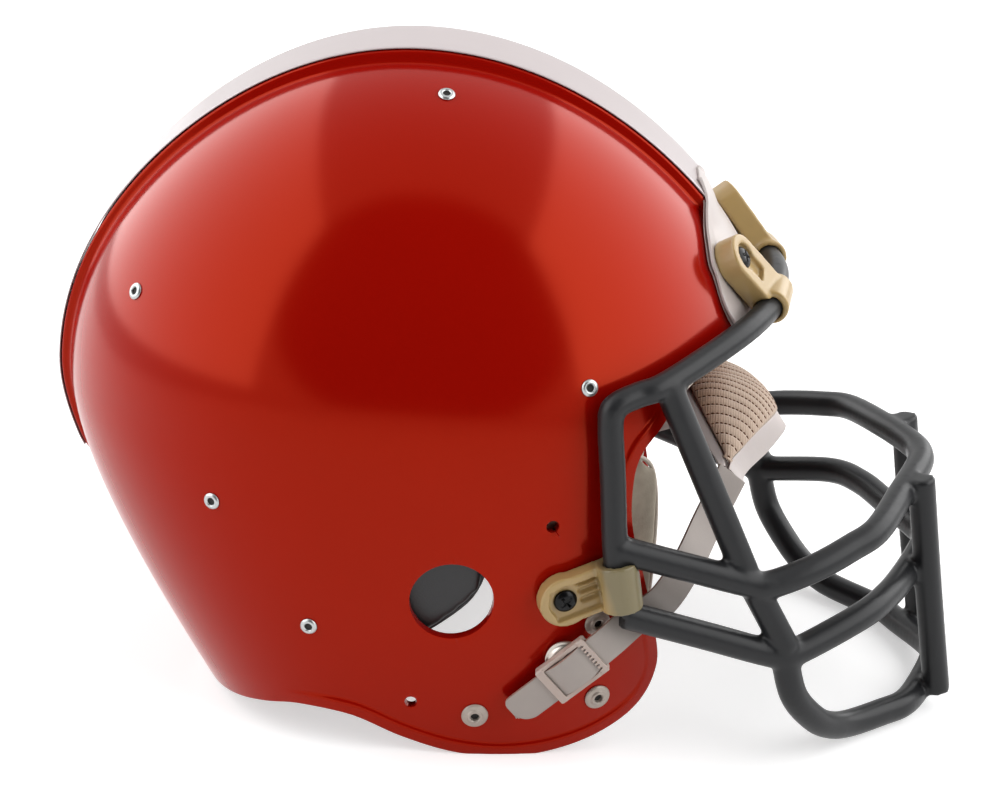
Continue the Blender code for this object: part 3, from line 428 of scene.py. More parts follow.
def shell_points():
    """Rows of points from the crown down to the rim; the last rows run beside the rim, along its bead."""
    half = curve_through(RIM_SHARES, SHELL_COLUMNS // 2 + 1)
    turn = np.vstack([half[::-1], half[1:-1]])
    hand = np.array([-1.0] * len(half) + [1.0] * (len(half) - 2))
    foot = on_dome(turn[:, 0] * pi * hand, turn[:, 1] * DOME_TO_FLOOR)
    along = np.roll(foot, -1, axis=0) - np.roll(foot, 1, axis=0)
    inward = unit(np.cross(normals(foot), along))
    steps = np.array(RIM_STEPS) * MM
    collar = from_middle(foot + inward * steps[:, None, None])
    x, y, z = collar[0].T
    edge = np.arctan2(np.hypot(x, y), z) * np.exp(1j * np.arctan2(y, x))
    ring = CROWN_RING * np.exp(1j * turn[:, 2] * pi * hand)
    crown = np.linspace(0.05, 1, CROWN_ROWS + 1)[:-1, None] * ring
    grid = np.vstack([crown, spread_grid(edge, ring)[:-1]])
    points = from_middle(heading(np.angle(grid), pi / 2 - np.abs(grid)))
    to_rim = np.concatenate([np.full(len(grid), steps[0]), steps])
    return np.concatenate([points, collar]), to_rim[:, None], np.abs(turn[:, 0])


def cut_round(form, spot, radius, hand, passes):
    """Cuts a round hole in one side of the shell, on a finer grid, and draws the cut edge onto its circle."""
    middle_x, middle_z = spot

    def away(place):
        """How many radii a place is from the hole's axis; far off on the other side."""
        return hypot(place.x - middle_x, place.z - middle_z) / radius if place.y * hand > 0 else inf

    for _ in range(passes):
        near = [face for face in form.faces if min(away(vert.co) for vert in face.verts) < FINER_SHARE]
        edges = {edge for face in near for edge in face.edges}
        bmesh.ops.subdivide_edges(form, edges=list(edges), cuts=1, use_grid_fill=True)
    inside = [face for face in form.faces if away(face.calc_center_median()) < 1]
    bmesh.ops.delete(form, geom=inside, context='FACES')
    for vert in form.verts:
        if away(vert.co) < EDGE_SHARE and any(edge.is_boundary for edge in vert.link_edges):
            ratio = 1 / away(vert.co)
            vert.co = on_side(middle_x + (vert.co.x - middle_x) * ratio,
                              middle_z + (vert.co.z - middle_z) * ratio, hand)


def make_shell():
    points, to_rim, turn = shell_points()
    start, full = BEAD_START_SHARES
    low, end = BEAD_END_SHARES
    flap = np.clip((turn - start) / (full - start), 0, 1) * np.clip((end - turn) / (end - low), 0, 1)
    lift = BEAD_HEIGHT * eased((BEAD_WIDTH + BEAD_SLOPE / 2 - to_rim) / BEAD_SLOPE) * eased(flap)[None, :]
    mesh = grid_mesh("moulded_shell", points, around=True)
    form = bmesh.new()
    form.from_mesh(mesh)
    layer = form.verts.layers.float.new("lift")
    form.verts.ensure_lookup_table()
    for vert, rise in zip(form.verts, lift.ravel()):
        vert[layer] = rise
    top = form.verts.new((0, 0, DOME_TOP))
    form.verts.ensure_lookup_table()
    for column in range(SHELL_COLUMNS):
        form.faces.new((form.verts[column], top, form.verts[(column + 1) % SHELL_COLUMNS]))
    for hand in (-1, 1):
        cut_round(form, EAR_HOLE_PLACE, EAR_HOLE_RADIUS, hand, 1)
        for place in PLAIN_HOLE_PLACES:
            cut_round(form, place, PLAIN_HOLE_RADIUS, hand, 2)
    bmesh.ops.delete(form, geom=[vert for vert in form.verts if not vert.link_faces], context='VERTS')
    places = np.array([vert.co for vert in form.verts])
    lifts = np.array([vert[layer] for vert in form.verts])
    places = places + normals(places) * lifts[:, None]
    places[:, 2] = np.maximum(places[:, 2], -DOME_TO_FLOOR)
    for vert, place in zip(form.verts, places):
        vert.co = place
    bmesh.ops.recalc_face_normals(form, faces=form.faces)
    if sum(face.normal.dot(face.calc_center_median()) for face in form.faces) < 0:
        bmesh.ops.reverse_faces(form, faces=form.faces)
    form.to_mesh(mesh)
    form.free()
    outside = moulded("polished_red", RED, 0.15, 0.003, 0.6, 0.05, 60.0, shine=RED_SHINE, density=1.75)
    inside = moulded("red_inside", RED_INSIDE, 0.5, 0.02, 0.8, 0.08, 30.0)
    shell = piece("moulded_shell", mesh, [outside, inside], stands_for=["shell"])
    thicken(shell, SHELL_WALL, inside_finish=True, edge=SHELL_EDGE)
    return outside


POLISHED_RED = make_shell()


# Ridge and stripe: the ridge is moulded with the shell, a low flat band with a soft foot along the crown. A
# strip of white vinyl tape is laid on top of it, from behind the brow clips to the back of the head.
RIDGE_WIDTH = 38 * MM
RIDGE_HEIGHT = 2.6 * MM
RIDGE_FRONT = 34
RIDGE_REAR = 204
RIDGE_ROWS = 170
RIDGE_FADE_SHARE = 0.06
RIDGE_END_SHARE = 0.06
STRIPE_WIDTH = 35.6 * MM
STRIPE_THICKNESS = 0.5 * MM
STRIPE_FRONT = 35.5
STRIPE_REAR = 196
TAPE_WHITE = (0.47, 0.40, 0.40)
# Half of the ridge's section, from the foot in the shell up to the middle: shares of half width and height
RIDGE_SECTION_SHARES = [
    (1.10, -0.90), (1.07, -0.12), (1.045, 0.00), (1.02, 0.06), (1.00, 0.20), (0.985, 0.50), (0.975, 0.78),
    (0.955, 0.93), (0.92, 0.985), (0.86, 1.00), (0.50, 1.00), (0.00, 1.00)]


def band_points(angles, section, fade):
    """A band along the crown, each section of it square to the middle plane."""
    spine = reach((0, 0, 0), heading(0.0, np.radians(angles)))
    out = normals(spine)
    points = np.empty((len(angles), len(section), 3))
    for column, (across, lift) in enumerate(section):
        beside = spine + np.array((0, across, 0))
        foot = from_middle(beside)
        sag = np.sum((foot - spine) * out, axis=-1)
        flat = np.clip(lift / RIDGE_HEIGHT, 0, 1) * fade
        points[:, column] = beside + out * (sag * (1 - flat) + lift * fade)[:, None]
    return points


def ridge_fade(angles):
    """The ridge's height share along it: low at both ends."""
    run = (RIDGE_REAR - RIDGE_FRONT) * RIDGE_FADE_SHARE
    rise = eased(np.minimum((angles - RIDGE_FRONT) * 3, RIDGE_REAR - angles) / run)
    return RIDGE_END_SHARE + (1 - RIDGE_END_SHARE) * rise


def mirrored_section(half):
    return half + [(-across, lift) for across, lift in half[-2::-1]]


def make_ridge():
    angles = np.linspace(RIDGE_FRONT, RIDGE_REAR, RIDGE_ROWS)
    half = [(share * RIDGE_WIDTH / 2, lift * RIDGE_HEIGHT) for share, lift in RIDGE_SECTION_SHARES]
    mesh = grid_mesh("crown_ridge", band_points(angles, mirrored_section(half), ridge_fade(angles)))
    piece("crown_ridge", mesh, [POLISHED_RED])


def make_tape():
    angles = np.linspace(STRIPE_FRONT, STRIPE_REAR, RIDGE_ROWS)
    half = STRIPE_WIDTH / 2
    lift = RIDGE_HEIGHT + STRIPE_THICKNESS
    section = [(across, lift) for across in np.linspace(half, -half, 13)]
    mesh = grid_mesh("crown_tape", band_points(angles, section, ridge_fade(angles)))
    finish = moulded("white_tape", TAPE_WHITE, 0.3, 0.01, 0.9, 0.03, 15.0, coat=0.3)
    tape = piece("crown_tape", mesh, [finish], stands_for=["centre_stripe"])
    thicken(tape, STRIPE_THICKNESS, edge=0.15 * MM, edge_steps=2)


make_ridge()
make_tape()


# Face mask: round steel wires bent over a form, welded where they cross, and dipped in dark grey vinyl, which
# fills the corners of the welds and leaves one smooth satin coat.
WIRE_RADIUS = 5.6 * MM
BROW_WIRE_RADIUS = 5.0 * MM
WIRE_STANDOFF = 9.6 * MM
MASK_STANDOFF = 77 * MM
SIDE_WIRE_FORWARD = 86 * MM
MASK_TURN_HALF_WIDTH = 95 * MM
SIDE_WIRE_INSET = 8 * MM
MASK_HEIGHT = 175 * MM
COAT_GREY = (0.017, 0.0175, 0.019)
COAT_VOXEL = 1.0 * MM
# Brow wire: share of a half turn, share of the dome's height, share of the wire's standoff
BROW_WIRE_SHARES = [
    (0.236, 0.264, 1.00), (0.147, 0.336, 1.02), (0.089, 0.362, 1.12), (0.063, 0.377, 1.15), (0.000, 0.388, 1.15)]
# Other wires: share of the way from side wire to dome front and mask standoff, width as half_width reads it,
# and share of the mask's height above the floor
SIDE_WIRE_SHARES = [
    (0.039, 2.000, 0.389), (0.020, 2.000, 0.465), (0.000, 2.000, 0.541), (-0.022, 1.879, 0.700),
    (-0.042, 1.760, 0.835), (-0.028, 1.657, 0.868), (0.030, 1.238, 0.885)]
UPPER_BAR_SHARES = [
    (0.000, 2.000, 0.541), (0.207, 1.538, 0.494), (0.380, 1.174, 0.456), (0.440, 1.040, 0.451),
    (0.564, 0.926, 0.480), (0.671, 0.810, 0.509), (0.750, 0.690, 0.530), (0.836, 0.379, 0.554),
    (0.900, 0.126, 0.566), (0.914, 0.000, 0.568)]
LOWER_BAR_SHARES = [
    (0.039, 2.000, 0.384), (0.271, 1.499, 0.330), (0.470, 1.063, 0.283), (0.530, 0.980, 0.282),
    (0.720, 0.789, 0.333), (0.807, 0.611, 0.346), (0.875, 0.379, 0.347), (0.939, 0.126, 0.353),
    (0.960, 0.000, 0.354)]
JAW_BAR_SHARES = [
    (0.504, 0.998, 0.275), (0.544, 0.979, 0.176), (0.611, 0.905, 0.102), (0.671, 0.815, 0.060),
    (0.740, 0.705, 0.038), (0.846, 0.563, 0.034), (0.907, 0.480, 0.034), (0.954, 0.347, 0.034),
    (1.013, 0.126, 0.046), (1.031, 0.000, 0.051)]
UPRIGHT_SHARES = [(0.888, 0.358, 0.590), (0.943, 0.358, 0.349), (1.018, 0.347, 0.040)]
STRUT_SHARES = [(0.104, 0.968, 0.903), (0.369, 1.000, 0.476)]
SHORT_STRUT_SHARES = [(0.386, 1.000, 0.457), (0.507, 1.000, 0.297)]


def half_width(share):
    """Up to the mask's turn for shares up to 1, and on from there to the side wire up to 2."""
    side = DOME_HALF_WIDTH - SIDE_WIRE_INSET
    return MASK_TURN_HALF_WIDTH * np.minimum(share, 1) + (side - MASK_TURN_HALF_WIDTH) * np.maximum(share - 1, 0)


def bar_points(table, hand=1):
    forward, width, height = np.array(table, float).T
    ahead = SIDE_WIRE_FORWARD + (DOME_FRONT + MASK_STANDOFF - SIDE_WIRE_FORWARD) * forward
    return np.stack([ahead, half_width(width) * hand, MASK_HEIGHT * height - DOME_TO_FLOOR], axis=-1)


def brow_points(table):
    azimuth, height, standoff = np.array(table, float).T
    return (on_dome(azimuth * pi, height * DOME_TOP)
            + heading(azimuth * pi) * (WIRE_STANDOFF * standoff)[:, None])


def whole(half):
    """A path on both sides from its left half, which ends on the middle plane."""
    return np.vstack([half, half[-2::-1] * (1, -1, 1)])


def tube(points, radius, sides=16):
    """Vertices and faces of a round wire along a path."""
    points = np.array(points, float)
    way = unit(np.gradient(points, axis=0))
    side = np.cross(way[0], (0.3, 0.2, 0.93))
    rings = []
    for spot, ahead in zip(points, way):
        side = side - ahead * np.dot(side, ahead)
        side /= np.linalg.norm(side)
        over = np.cross(ahead, side)
        rings.append([spot + radius * (side * cos(turn) + over * sin(turn))
                      for turn in np.linspace(0, 2 * pi, sides, endpoint=False)])
    verts = np.array(rings).reshape(-1, 3).tolist()
    faces = []
    for ring in range(len(points) - 1):
        for step in range(sides):
            beside = (step + 1) % sides
            faces.append((ring * sides + step, ring * sides + beside, (ring + 1) * sides + beside,
                          (ring + 1) * sides + step))
    faces.append(tuple(reversed(range(sides))))
    faces.append(tuple(range((len(points) - 1) * sides, len(points) * sides)))
    return verts, faces


def joined(parts):
    """One list of vertices and one of faces from several."""
    verts, faces = [], []
    for some_verts, some_faces in parts:
        faces += [tuple(index + len(verts) for index in face) for face in some_faces]
        verts += some_verts
    return verts, faces


def make_mask():
    brow = np.vstack([bar_points(SIDE_WIRE_SHARES), brow_points(BROW_WIRE_SHARES)])
    wires = [tube(curve_through(whole(brow), 260), BROW_WIRE_RADIUS + 0.15 * MM)]
    for table in (UPPER_BAR_SHARES, LOWER_BAR_SHARES, JAW_BAR_SHARES):
        wires.append(tube(curve_through(whole(bar_points(table)), 200), WIRE_RADIUS + 0.15 * MM))
    for hand in (1, -1):
        for table, count in ((UPRIGHT_SHARES, 30), (STRUT_SHARES, 14), (SHORT_STRUT_SHARES, 8)):
            wires.append(tube(curve_through(bar_points(table, hand), count), WIRE_RADIUS + 0.1 * MM))
    mesh = mesh_of("face_mask", joined(wires), smooth=False)
    nodes = [name for name in frame["nodes"] if name.startswith("mask_")]
    finish = moulded("dipped_grey", COAT_GREY, 0.36, 0.03, 2.2, 0.1, 12.0, density=1.36)
    mask = piece("face_mask", mesh, [finish],
                 stands_for=["brow_and_side_wire", "upper_bar", "lower_bar", "jaw_bar", *nodes])
    coat = mask.modifiers.new("dip coat", 'REMESH')
    coat.mode = 'VOXEL'
    coat.voxel_size = COAT_VOXEL
    coat.use_smooth_shade = True
    flow = mask.modifiers.new("coat flow", 'SMOOTH')
    flow.factor = 0.5
    flow.iterations = 9


make_mask()


# Small fasteners of the shell: hollow rivets of bright alloy hold the liner, beige coated collars wait for other
# strap snaps, and a snap stud is under each end of the strap. All go through the wall and are set over inside.
RIVET_RADIUS = 3.4 * MM
RIVET_HEIGHT = 0.9 * MM
RIVET_BORE = 1.45 * MM
SHANK_RADIUS = 1.9 * MM
COLLAR_RADIUS = 5.3 * MM
COLLAR_HEIGHT = 1.8 * MM
COLLAR_BORE = 1.7 * MM
COLLAR_SHANK = 2.6 * MM
INNER_CLEARANCE = 1.3 * MM
TAIL_THICKNESS = 0.9 * MM
SNAP_HEIGHT = 4.6 * MM
SNAP_POST_RADIUS = 3 * MM
SNAP_FLANGE_RADIUS = 4.2 * MM
SNAP_FLANGE_HEIGHT = 1.2 * MM
ALLOY = (0.48, 0.50, 0.50)
COLLAR_BEIGE = (0.44, 0.38, 0.33)
BORE_DARK = (0.02, 0.018, 0.016)
# Places on the side of the shell: share of the dome's front or rear length, share of its height
RIVET_PLACES_SHARES = {
    "crown": (0.057, 0.933), "rear": (-0.755, 0.347), "low": (-0.496, -0.163),
    "nape": (-0.211, -0.502), "temple": (0.479, 0.250)}
COLLAR_PLACES_SHARES = {"rear": (0.248, -0.760), "front": (0.568, -0.714), "upper": (0.550, -0.463)}
INNER_SEAT = -(SHELL_WALL + INNER_CLEARANCE)
SIDES = {"left": 1, "right": -1}


def softened(corners, radius, steps=4):
    """A line whose corners give way to short curves."""
    points = [np.array(corners[0], float)]
    for before, corner, after in zip(corners, corners[1:], corners[2:]):
        before, corner, after = (np.array(point, float) for point in (before, corner, after))
        start = corner + (before - corner) * min(0.48, radius / np.linalg.norm(before - corner))
        end = corner + (after - corner) * min(0.48, radius / np.linalg.norm(after - corner))
        for share in np.linspace(0, 1, steps):
            points.append(start * (1 - share) ** 2 + corner * 2 * share * (1 - share) + end * share ** 2)
    return points + [np.array(corners[-1], float)]


def turned(name, profile, steps=28):
    """A round mesh from a profile of radius and height, from its axis round to its axis again."""
    radius, height = np.array(profile, float).T
    ring = heading(np.linspace(0, 2 * pi, steps, endpoint=False))
    points = ring[None] * radius[:, None, None] + np.array((0, 0, 1.0)) * height[:, None, None]
    mesh = grid_mesh(name, points, around=True)
    form = bmesh.new()
    form.from_mesh(mesh)
    bmesh.ops.remove_doubles(form, verts=form.verts, dist=0.001 * MM)
    bmesh.ops.recalc_face_normals(form, faces=form.faces)
    form.to_mesh(mesh)
    form.free()
    mesh.shade_smooth()
    return mesh


def stand(place, outward, along=(0, 0, 1)):
    """A frame at a place, its third axis outward and its first as near as can be to another way."""
    third = Vector(outward).normalized()
    first = Vector(along)
    first = (first - third * first.dot(third)).normalized()
    turn = Matrix((first, third.cross(first), third)).transposed()
    return Matrix.Translation(place) @ turn.to_4x4()


def darken_bore(mesh, radius):
    """Gives the faces inside a bore the second finish."""
    for face in mesh.polygons:
        if hypot(face.center.x, face.center.y) < radius * 0.98 and face.center.z < 0.8 * MM:
            face.material_index = 1


def side_place(shares, hand):
    forward, height = shares
    return on_side((DOME_FRONT if forward > 0 else DOME_REAR) * forward, DOME_TOP * height, hand)


def set_in_shell(mesh, finishes, places, kind):
    """Puts a fastener at each of its places, on both sides."""
    for name, shares in places.items():
        for side, hand in SIDES.items():
            place = side_place(shares, hand)
            node_name = f"{name}_{kind}_{side}"
            piece(node_name + "_turned", mesh, finishes, stands_for=[node_name],
                  where=stand(place, out_of(place)))


def make_rivets():
    inner = INNER_SEAT
    floor_of_bore = 0.15 * MM
    crest = 0.3 * MM + RIVET_HEIGHT
    mesh = turned("rivet", softened([
        (0, floor_of_bore), (RIVET_BORE * 0.9, floor_of_bore), (RIVET_BORE, crest * 0.7), (SHANK_RADIUS, crest),
        (RIVET_RADIUS * 0.8, crest * 0.9), (RIVET_RADIUS, crest * 0.35), (RIVET_RADIUS * 0.97, 0.06 * MM),
        (SHANK_RADIUS, 0.05 * MM), (SHANK_RADIUS, inner), (RIVET_RADIUS, inner),
        (RIVET_RADIUS, inner - TAIL_THICKNESS), (0, inner - TAIL_THICKNESS)], 0.35 * MM))
    darken_bore(mesh, RIVET_BORE)
    bright = moulded("rivet_alloy", ALLOY, 0.3, 0.01, 0.5, 0.12, 1.5, metallic=0.85)
    dark = moulded("bore_shadow", BORE_DARK, 0.7, 0.02, 0.5, 0.2, 1.0)
    set_in_shell(mesh, [bright, dark], RIVET_PLACES_SHARES, "rivet")
    return dark


def make_collars(dark):
    inner = INNER_SEAT
    crest = 0.3 * MM + COLLAR_HEIGHT
    mesh = turned("snap_collar", softened([
        (0, 0.15 * MM), (COLLAR_BORE, 0.15 * MM), (COLLAR_BORE, crest * 0.8), (COLLAR_BORE * 1.3, crest),
        (COLLAR_RADIUS * 0.55, crest * 0.95), (COLLAR_RADIUS * 0.62, crest * 0.62),
        (COLLAR_RADIUS * 0.86, crest * 0.56), (COLLAR_RADIUS, crest * 0.3), (COLLAR_RADIUS, 0.06 * MM),
        (COLLAR_SHANK, 0.05 * MM), (COLLAR_SHANK, inner), (COLLAR_RADIUS, inner),
        (COLLAR_RADIUS, inner - TAIL_THICKNESS), (0, inner - TAIL_THICKNESS)], 0.3 * MM), steps=40)
    darken_bore(mesh, COLLAR_BORE)
    coat = moulded("collar_coat", COLLAR_BEIGE, 0.38, 0.03, 0.7, 0.16, 2.5, metallic=0.25)
    set_in_shell(mesh, [coat, dark], COLLAR_PLACES_SHARES, "washer")
    return coat


def make_studs(coat):
    inner = INNER_SEAT
    flange = 0.3 * MM + SNAP_FLANGE_HEIGHT
    mesh = turned("snap_stud", softened([
        (0, SNAP_HEIGHT), (SNAP_POST_RADIUS * 0.96, SNAP_HEIGHT), (SNAP_POST_RADIUS, SNAP_HEIGHT * 0.8),
        (SNAP_POST_RADIUS * 0.88, flange + 0.5 * MM), (SNAP_POST_RADIUS * 0.92, flange),
        (SNAP_FLANGE_RADIUS, flange),
        (SNAP_FLANGE_RADIUS, 0.1 * MM), (COLLAR_SHANK, 0.1 * MM), (COLLAR_SHANK, inner), (COLLAR_RADIUS, inner),
        (COLLAR_RADIUS, inner - TAIL_THICKNESS), (0, inner - TAIL_THICKNESS)], 0.3 * MM))
    for side, hand in SIDES.items():
        place = on_side(SNAP_FORWARD, -SNAP_DROP, hand)
        way = (out_of(place) + Vector((0, hand * 2, 0))).normalized()
        piece(f"snap_stud_{side}_turned", mesh, [coat], stands_for=[f"snap_stud_{side}"],
              where=stand(place, way))


BORE_SHADOW = make_rivets()
make_studs(make_collars(BORE_SHADOW))


# Front plate: a sheet of thin white vinyl under the brow clips, with a second layer folded back behind it. Its
# ends stand off the shell and curl, and the folded edge gapes a little at the lower corners.
PLATE_THICKNESS = 1.0 * MM
PLATE_LOW = 45 * MM
PLATE_HIGH = 89 * MM
PLATE_HALF_ANGLE = 21.5
PLATE_LIFT = 2.4 * MM
VINYL_WHITE = (0.56, 0.50, 0.48)


def make_plate():
    across = np.linspace(-1, 1, 61)[None, :]
    up = np.linspace(0, 1, 25)[:, None]
    edge = np.abs(across)
    narrow = (1 - 0.8 * np.clip((up - 0.5) / 0.5, 0, 1) ** 1.4) * (1 + 0.03 * np.sin(up * 9.0))
    azimuth = np.radians(PLATE_HALF_ANGLE) * across * narrow
    height = PLATE_LOW + (PLATE_HIGH - PLATE_LOW) * up + across * 0
    curl = np.clip((edge - 0.72) / 0.28, 0, 1) ** 2
    ripple = 0.35 * MM * np.sin(across * 11 + up * 5) + 0.25 * MM * np.sin(across * 23 - up * 8)
    for name, rest, lift, share in (("plate_front", 1.7 * MM, 1.0, 1.0), ("plate_fold", 0.55 * MM, 0.25, 0.985)):
        out = rest + PLATE_LIFT * lift * curl * (0.4 + 0.6 * np.cos(up * 4.2 + 0.8) ** 2) + ripple * curl * lift
        over_ridge = np.clip((height - 76 * MM) / (8 * MM), 0, 1) \
            * np.clip(2 - np.abs(azimuth) / np.radians(9), 0, 1)
        out = out + over_ridge * (RIDGE_HEIGHT + 0.4 * MM)
        points = on_dome(azimuth * share + up * 0, height, out)
        mesh = grid_mesh(name, points)
        finish = moulded(name + "_vinyl", VINYL_WHITE, 0.35, 0.02, 1.2, 0.04, 12.0)
        stands_for = ["front_plate"] if lift == 1.0 else []
        layer = piece(name, mesh, [finish], stands_for=stands_for)
        thicken(layer, PLATE_THICKNESS * (1.0 if lift == 1.0 else 0.5), edge=0.2 * MM, edge_steps=2)


make_plate()


# Loop clips: tan plastic straps moulded in one piece, a round tail with a recess for the screw, and a loop
# round the mask's wire. The plastic lets light a little way in, and its loop is painted a darker olive as painted
# shade.
SIDE_CLIP_HEIGHT = 21 * MM
SIDE_LOOP_HEIGHT = 19.5 * MM
SIDE_CLIP_THICKNESS = 6.5 * MM
SIDE_CLIP_PLACE = (67.2 * MM, -49.6 * MM)
SIDE_LOOP_DROP = 42.5 * MM
BROW_CLIP_WIDTH = 19 * MM
BROW_CLIP_THICKNESS = 9.6 * MM
BROW_CLIP_SHARES = (0.087, 0.475)
PLATE_STACK = 2.2 * MM
FIT = 0.3 * MM
LOOP_WALL = 2.8 * MM
BROW_LOOP_WALL = 2 * MM
CLIP_VOXEL = 0.5 * MM
CLIP_TAN = (0.44, 0.30, 0.12)
# Olive of the painted shade on the clips' loops
CLIP_LOOP_SHADE = (0.165, 0.145, 0.075)
SCREW_HEAD_RADIUS = 4.7 * MM
SCREW_HEAD_HEIGHT = 2.2 * MM
SCREW_SHANK = 2.1 * MM
NUT_RADIUS = 6 * MM
NUT_THICKNESS = 1.6 * MM
SCREW_BLACK = (0.003, 0.003, 0.0035)
STEEL = (0.52, 0.52, 0.52)


def block(low, high, where=Matrix()):
    """Vertices and faces of a box between two corners of a frame."""
    corners = [(x, y, z) for x in (low[0], high[0]) for y in (low[1], high[1]) for z in (low[2], high[2])]
    verts = [tuple(where @ Vector(corner)) for corner in corners]
    return verts, [(0, 1, 3, 2), (4, 6, 7, 5), (0, 4, 5, 1), (2, 3, 7, 6), (0, 2, 6, 4), (1, 5, 7, 3)]


def rod(radius, low, high, where=Matrix(), steps=40):
    """Vertices and faces of a round bar along the third axis of a frame."""
    verts = []
    for height in (low, high):
        for turn in np.linspace(0, 2 * pi, steps, endpoint=False):
            verts.append(tuple(where @ Vector((cos(turn) * radius, sin(turn) * radius, height))))
    faces = [(step, (step + 1) % steps, steps + (step + 1) % steps, steps + step) for step in range(steps)]
    return verts, faces + [tuple(reversed(range(steps))), tuple(range(steps, 2 * steps))]


def bare_object(name, part):
    return add_object(name, mesh_of(name, part, smooth=False))


def regrid(thing, voxel, passes):
    grid = thing.modifiers.new("even grid", 'REMESH')
    grid.mode = 'VOXEL'
    grid.voxel_size = voxel
    flow = thing.modifiers.new("soft edges", 'SMOOTH')
    flow.factor = 0.5
    flow.iterations = passes


def carved(name, solids, cuts, voxel=0.0, passes=6):
    """One mesh of several solids with others cut out of it, drawn smooth on a fine grid if asked."""
    base = bare_object(name, joined(solids))
    tools = [bare_object("cutter", cut) for cut in ([joined(cuts)] if voxel and cuts else cuts)]
    if voxel:
        regrid(base, voxel, 0)
        for tool in tools:
            regrid(tool, voxel, 0)
    for tool in tools:
        taken = base.modifiers.new("cut", 'BOOLEAN')
        taken.operation = 'DIFFERENCE'
        taken.object = tool
    if voxel:
        regrid(base, voxel, passes)
    mesh = bpy.data.meshes.new_from_object(base.evaluated_get(bpy.context.evaluated_depsgraph_get()))
    for tool in [base, *tools]:
        old = tool.data
        bpy.data.objects.remove(tool, do_unlink=True)
        bpy.data.meshes.remove(old)
    mesh.name = name
    mesh.shade_smooth()
    return mesh


def mirrored(mesh, name):
    """A copy of a mesh on the other side of the middle plane."""
    other = mesh.copy()
    other.name = name
    other.transform(Matrix.Diagonal((1, -1, 1, 1)))
    other.flip_normals()
    return other


def both_hands(name, mesh, finishes, nodes, body="helmet"):
    """A right piece and its mirror image, each in place of its own plain solid."""
    pair = []
    for side, shape in (("right", mesh), ("left", mirrored(mesh, name + "_left"))):
        pair.append(piece(f"{name}_{side}", shape, finishes, body, [nodes.format(side=side)]))
    return pair


def blend_in(finish, level, output, colour):
    """Mixes another colour into a finish, by the output of one of its nodes."""
    tree = finish.node_tree
    entry = tree.nodes["Principled BSDF"].inputs["Base Color"]
    mixed = node(tree, "MixRGB", color2=(*colour, 1))
    wire_up(tree, level, output, mixed, 0)
    wire_up(tree, entry.links[0].from_node, 0, mixed, 1)
    tree.links.new(mixed.outputs[0], entry)


def clip_finish():
    """Tan plastic that turns a darker olive towards the loop as painted shade, as far as each point is marked."""
    finish = moulded("clip_tan", CLIP_TAN, 0.33, 0.02, 1.4, 0.07, 9.0, coat=0.15, glow_through=0.12)
    loop_shade = node(finish.node_tree, "Attribute", attribute_name="loop_shade")
    blend_in(finish, loop_shade, "Fac", CLIP_LOOP_SHADE)
    return finish


def mark_loop_shade(mesh, where, start, full):
    """Notes on each point how far it is into the loop, as its share of the painted shade."""
    to_clip = where.inverted()
    loop_shade = mesh.attributes.new("loop_shade", 'FLOAT', 'POINT')
    for vert, value in zip(mesh.vertices, loop_shade.data):
        share = ((to_clip @ vert.co).x - start) / (full - start)
        value.value = min(1, max(0, share)) * 0.85


def make_side_clips(finish):
    place = on_side(*SIDE_CLIP_PLACE, -1)
    foot, knee = (Vector(bar_points(SIDE_WIRE_SHARES, -1)[row]) for row in (0, 2))
    hang = foot.lerp(knee, (-SIDE_LOOP_DROP - foot.z) / (knee.z - foot.z))
    where = stand(place, out_of(place), hang - place)
    reach_out = (where.inverted() @ hang).x
    wide, tail, top = SIDE_LOOP_HEIGHT / 2, SIDE_CLIP_HEIGHT / 2, FIT + SIDE_CLIP_THICKNESS
    loop_radius = BROW_WIRE_RADIUS + FIT + LOOP_WALL
    round_wire = stand(hang, knee - foot, where.to_3x3() @ Vector((0, 0, 1)))
    solids = [rod(tail, FIT, top, where), block((0, -wide, FIT), (reach_out, wide, top), where),
              rod(loop_radius, -wide, wide, round_wire)]
    recess_floor = top - 2.3 * MM
    cuts = [block((-5.5 * MM, -7.4 * MM, recess_floor), (14.2 * MM, 6.3 * MM, top + 3 * MM), where),
            rod(6.9 * MM, recess_floor, top + 3 * MM, where),
            rod(SCREW_SHANK + FIT, -5 * MM, top + 3 * MM, where, 20)]
    for across in (4.9, 1.3, -2.7):
        cuts.append(block((6.0 * MM, (across - 1.0) * MM, recess_floor - 1.5 * MM),
                          (14.6 * MM, (across + 1.0) * MM, top + 3 * MM), where))
    cuts.append(tube(curve_through(bar_points(SIDE_WIRE_SHARES[:3], -1), 24) +
                     np.linspace(-1, 1, 24)[:, None] * np.array(knee - foot) * 0.35, BROW_WIRE_RADIUS + FIT, 24))
    for table in (UPPER_BAR_SHARES, LOWER_BAR_SHARES):
        cuts.append(tube(curve_through(bar_points(table[:4], -1), 40), WIRE_RADIUS + FIT, 24))
    mesh = carved("side_clip", solids, cuts, CLIP_VOXEL, 5)
    mark_loop_shade(mesh, where, 12.5 * MM, 16.5 * MM)
    both_hands("side_clip", mesh, [finish], "{side}_side_clip")
    return where, recess_floor


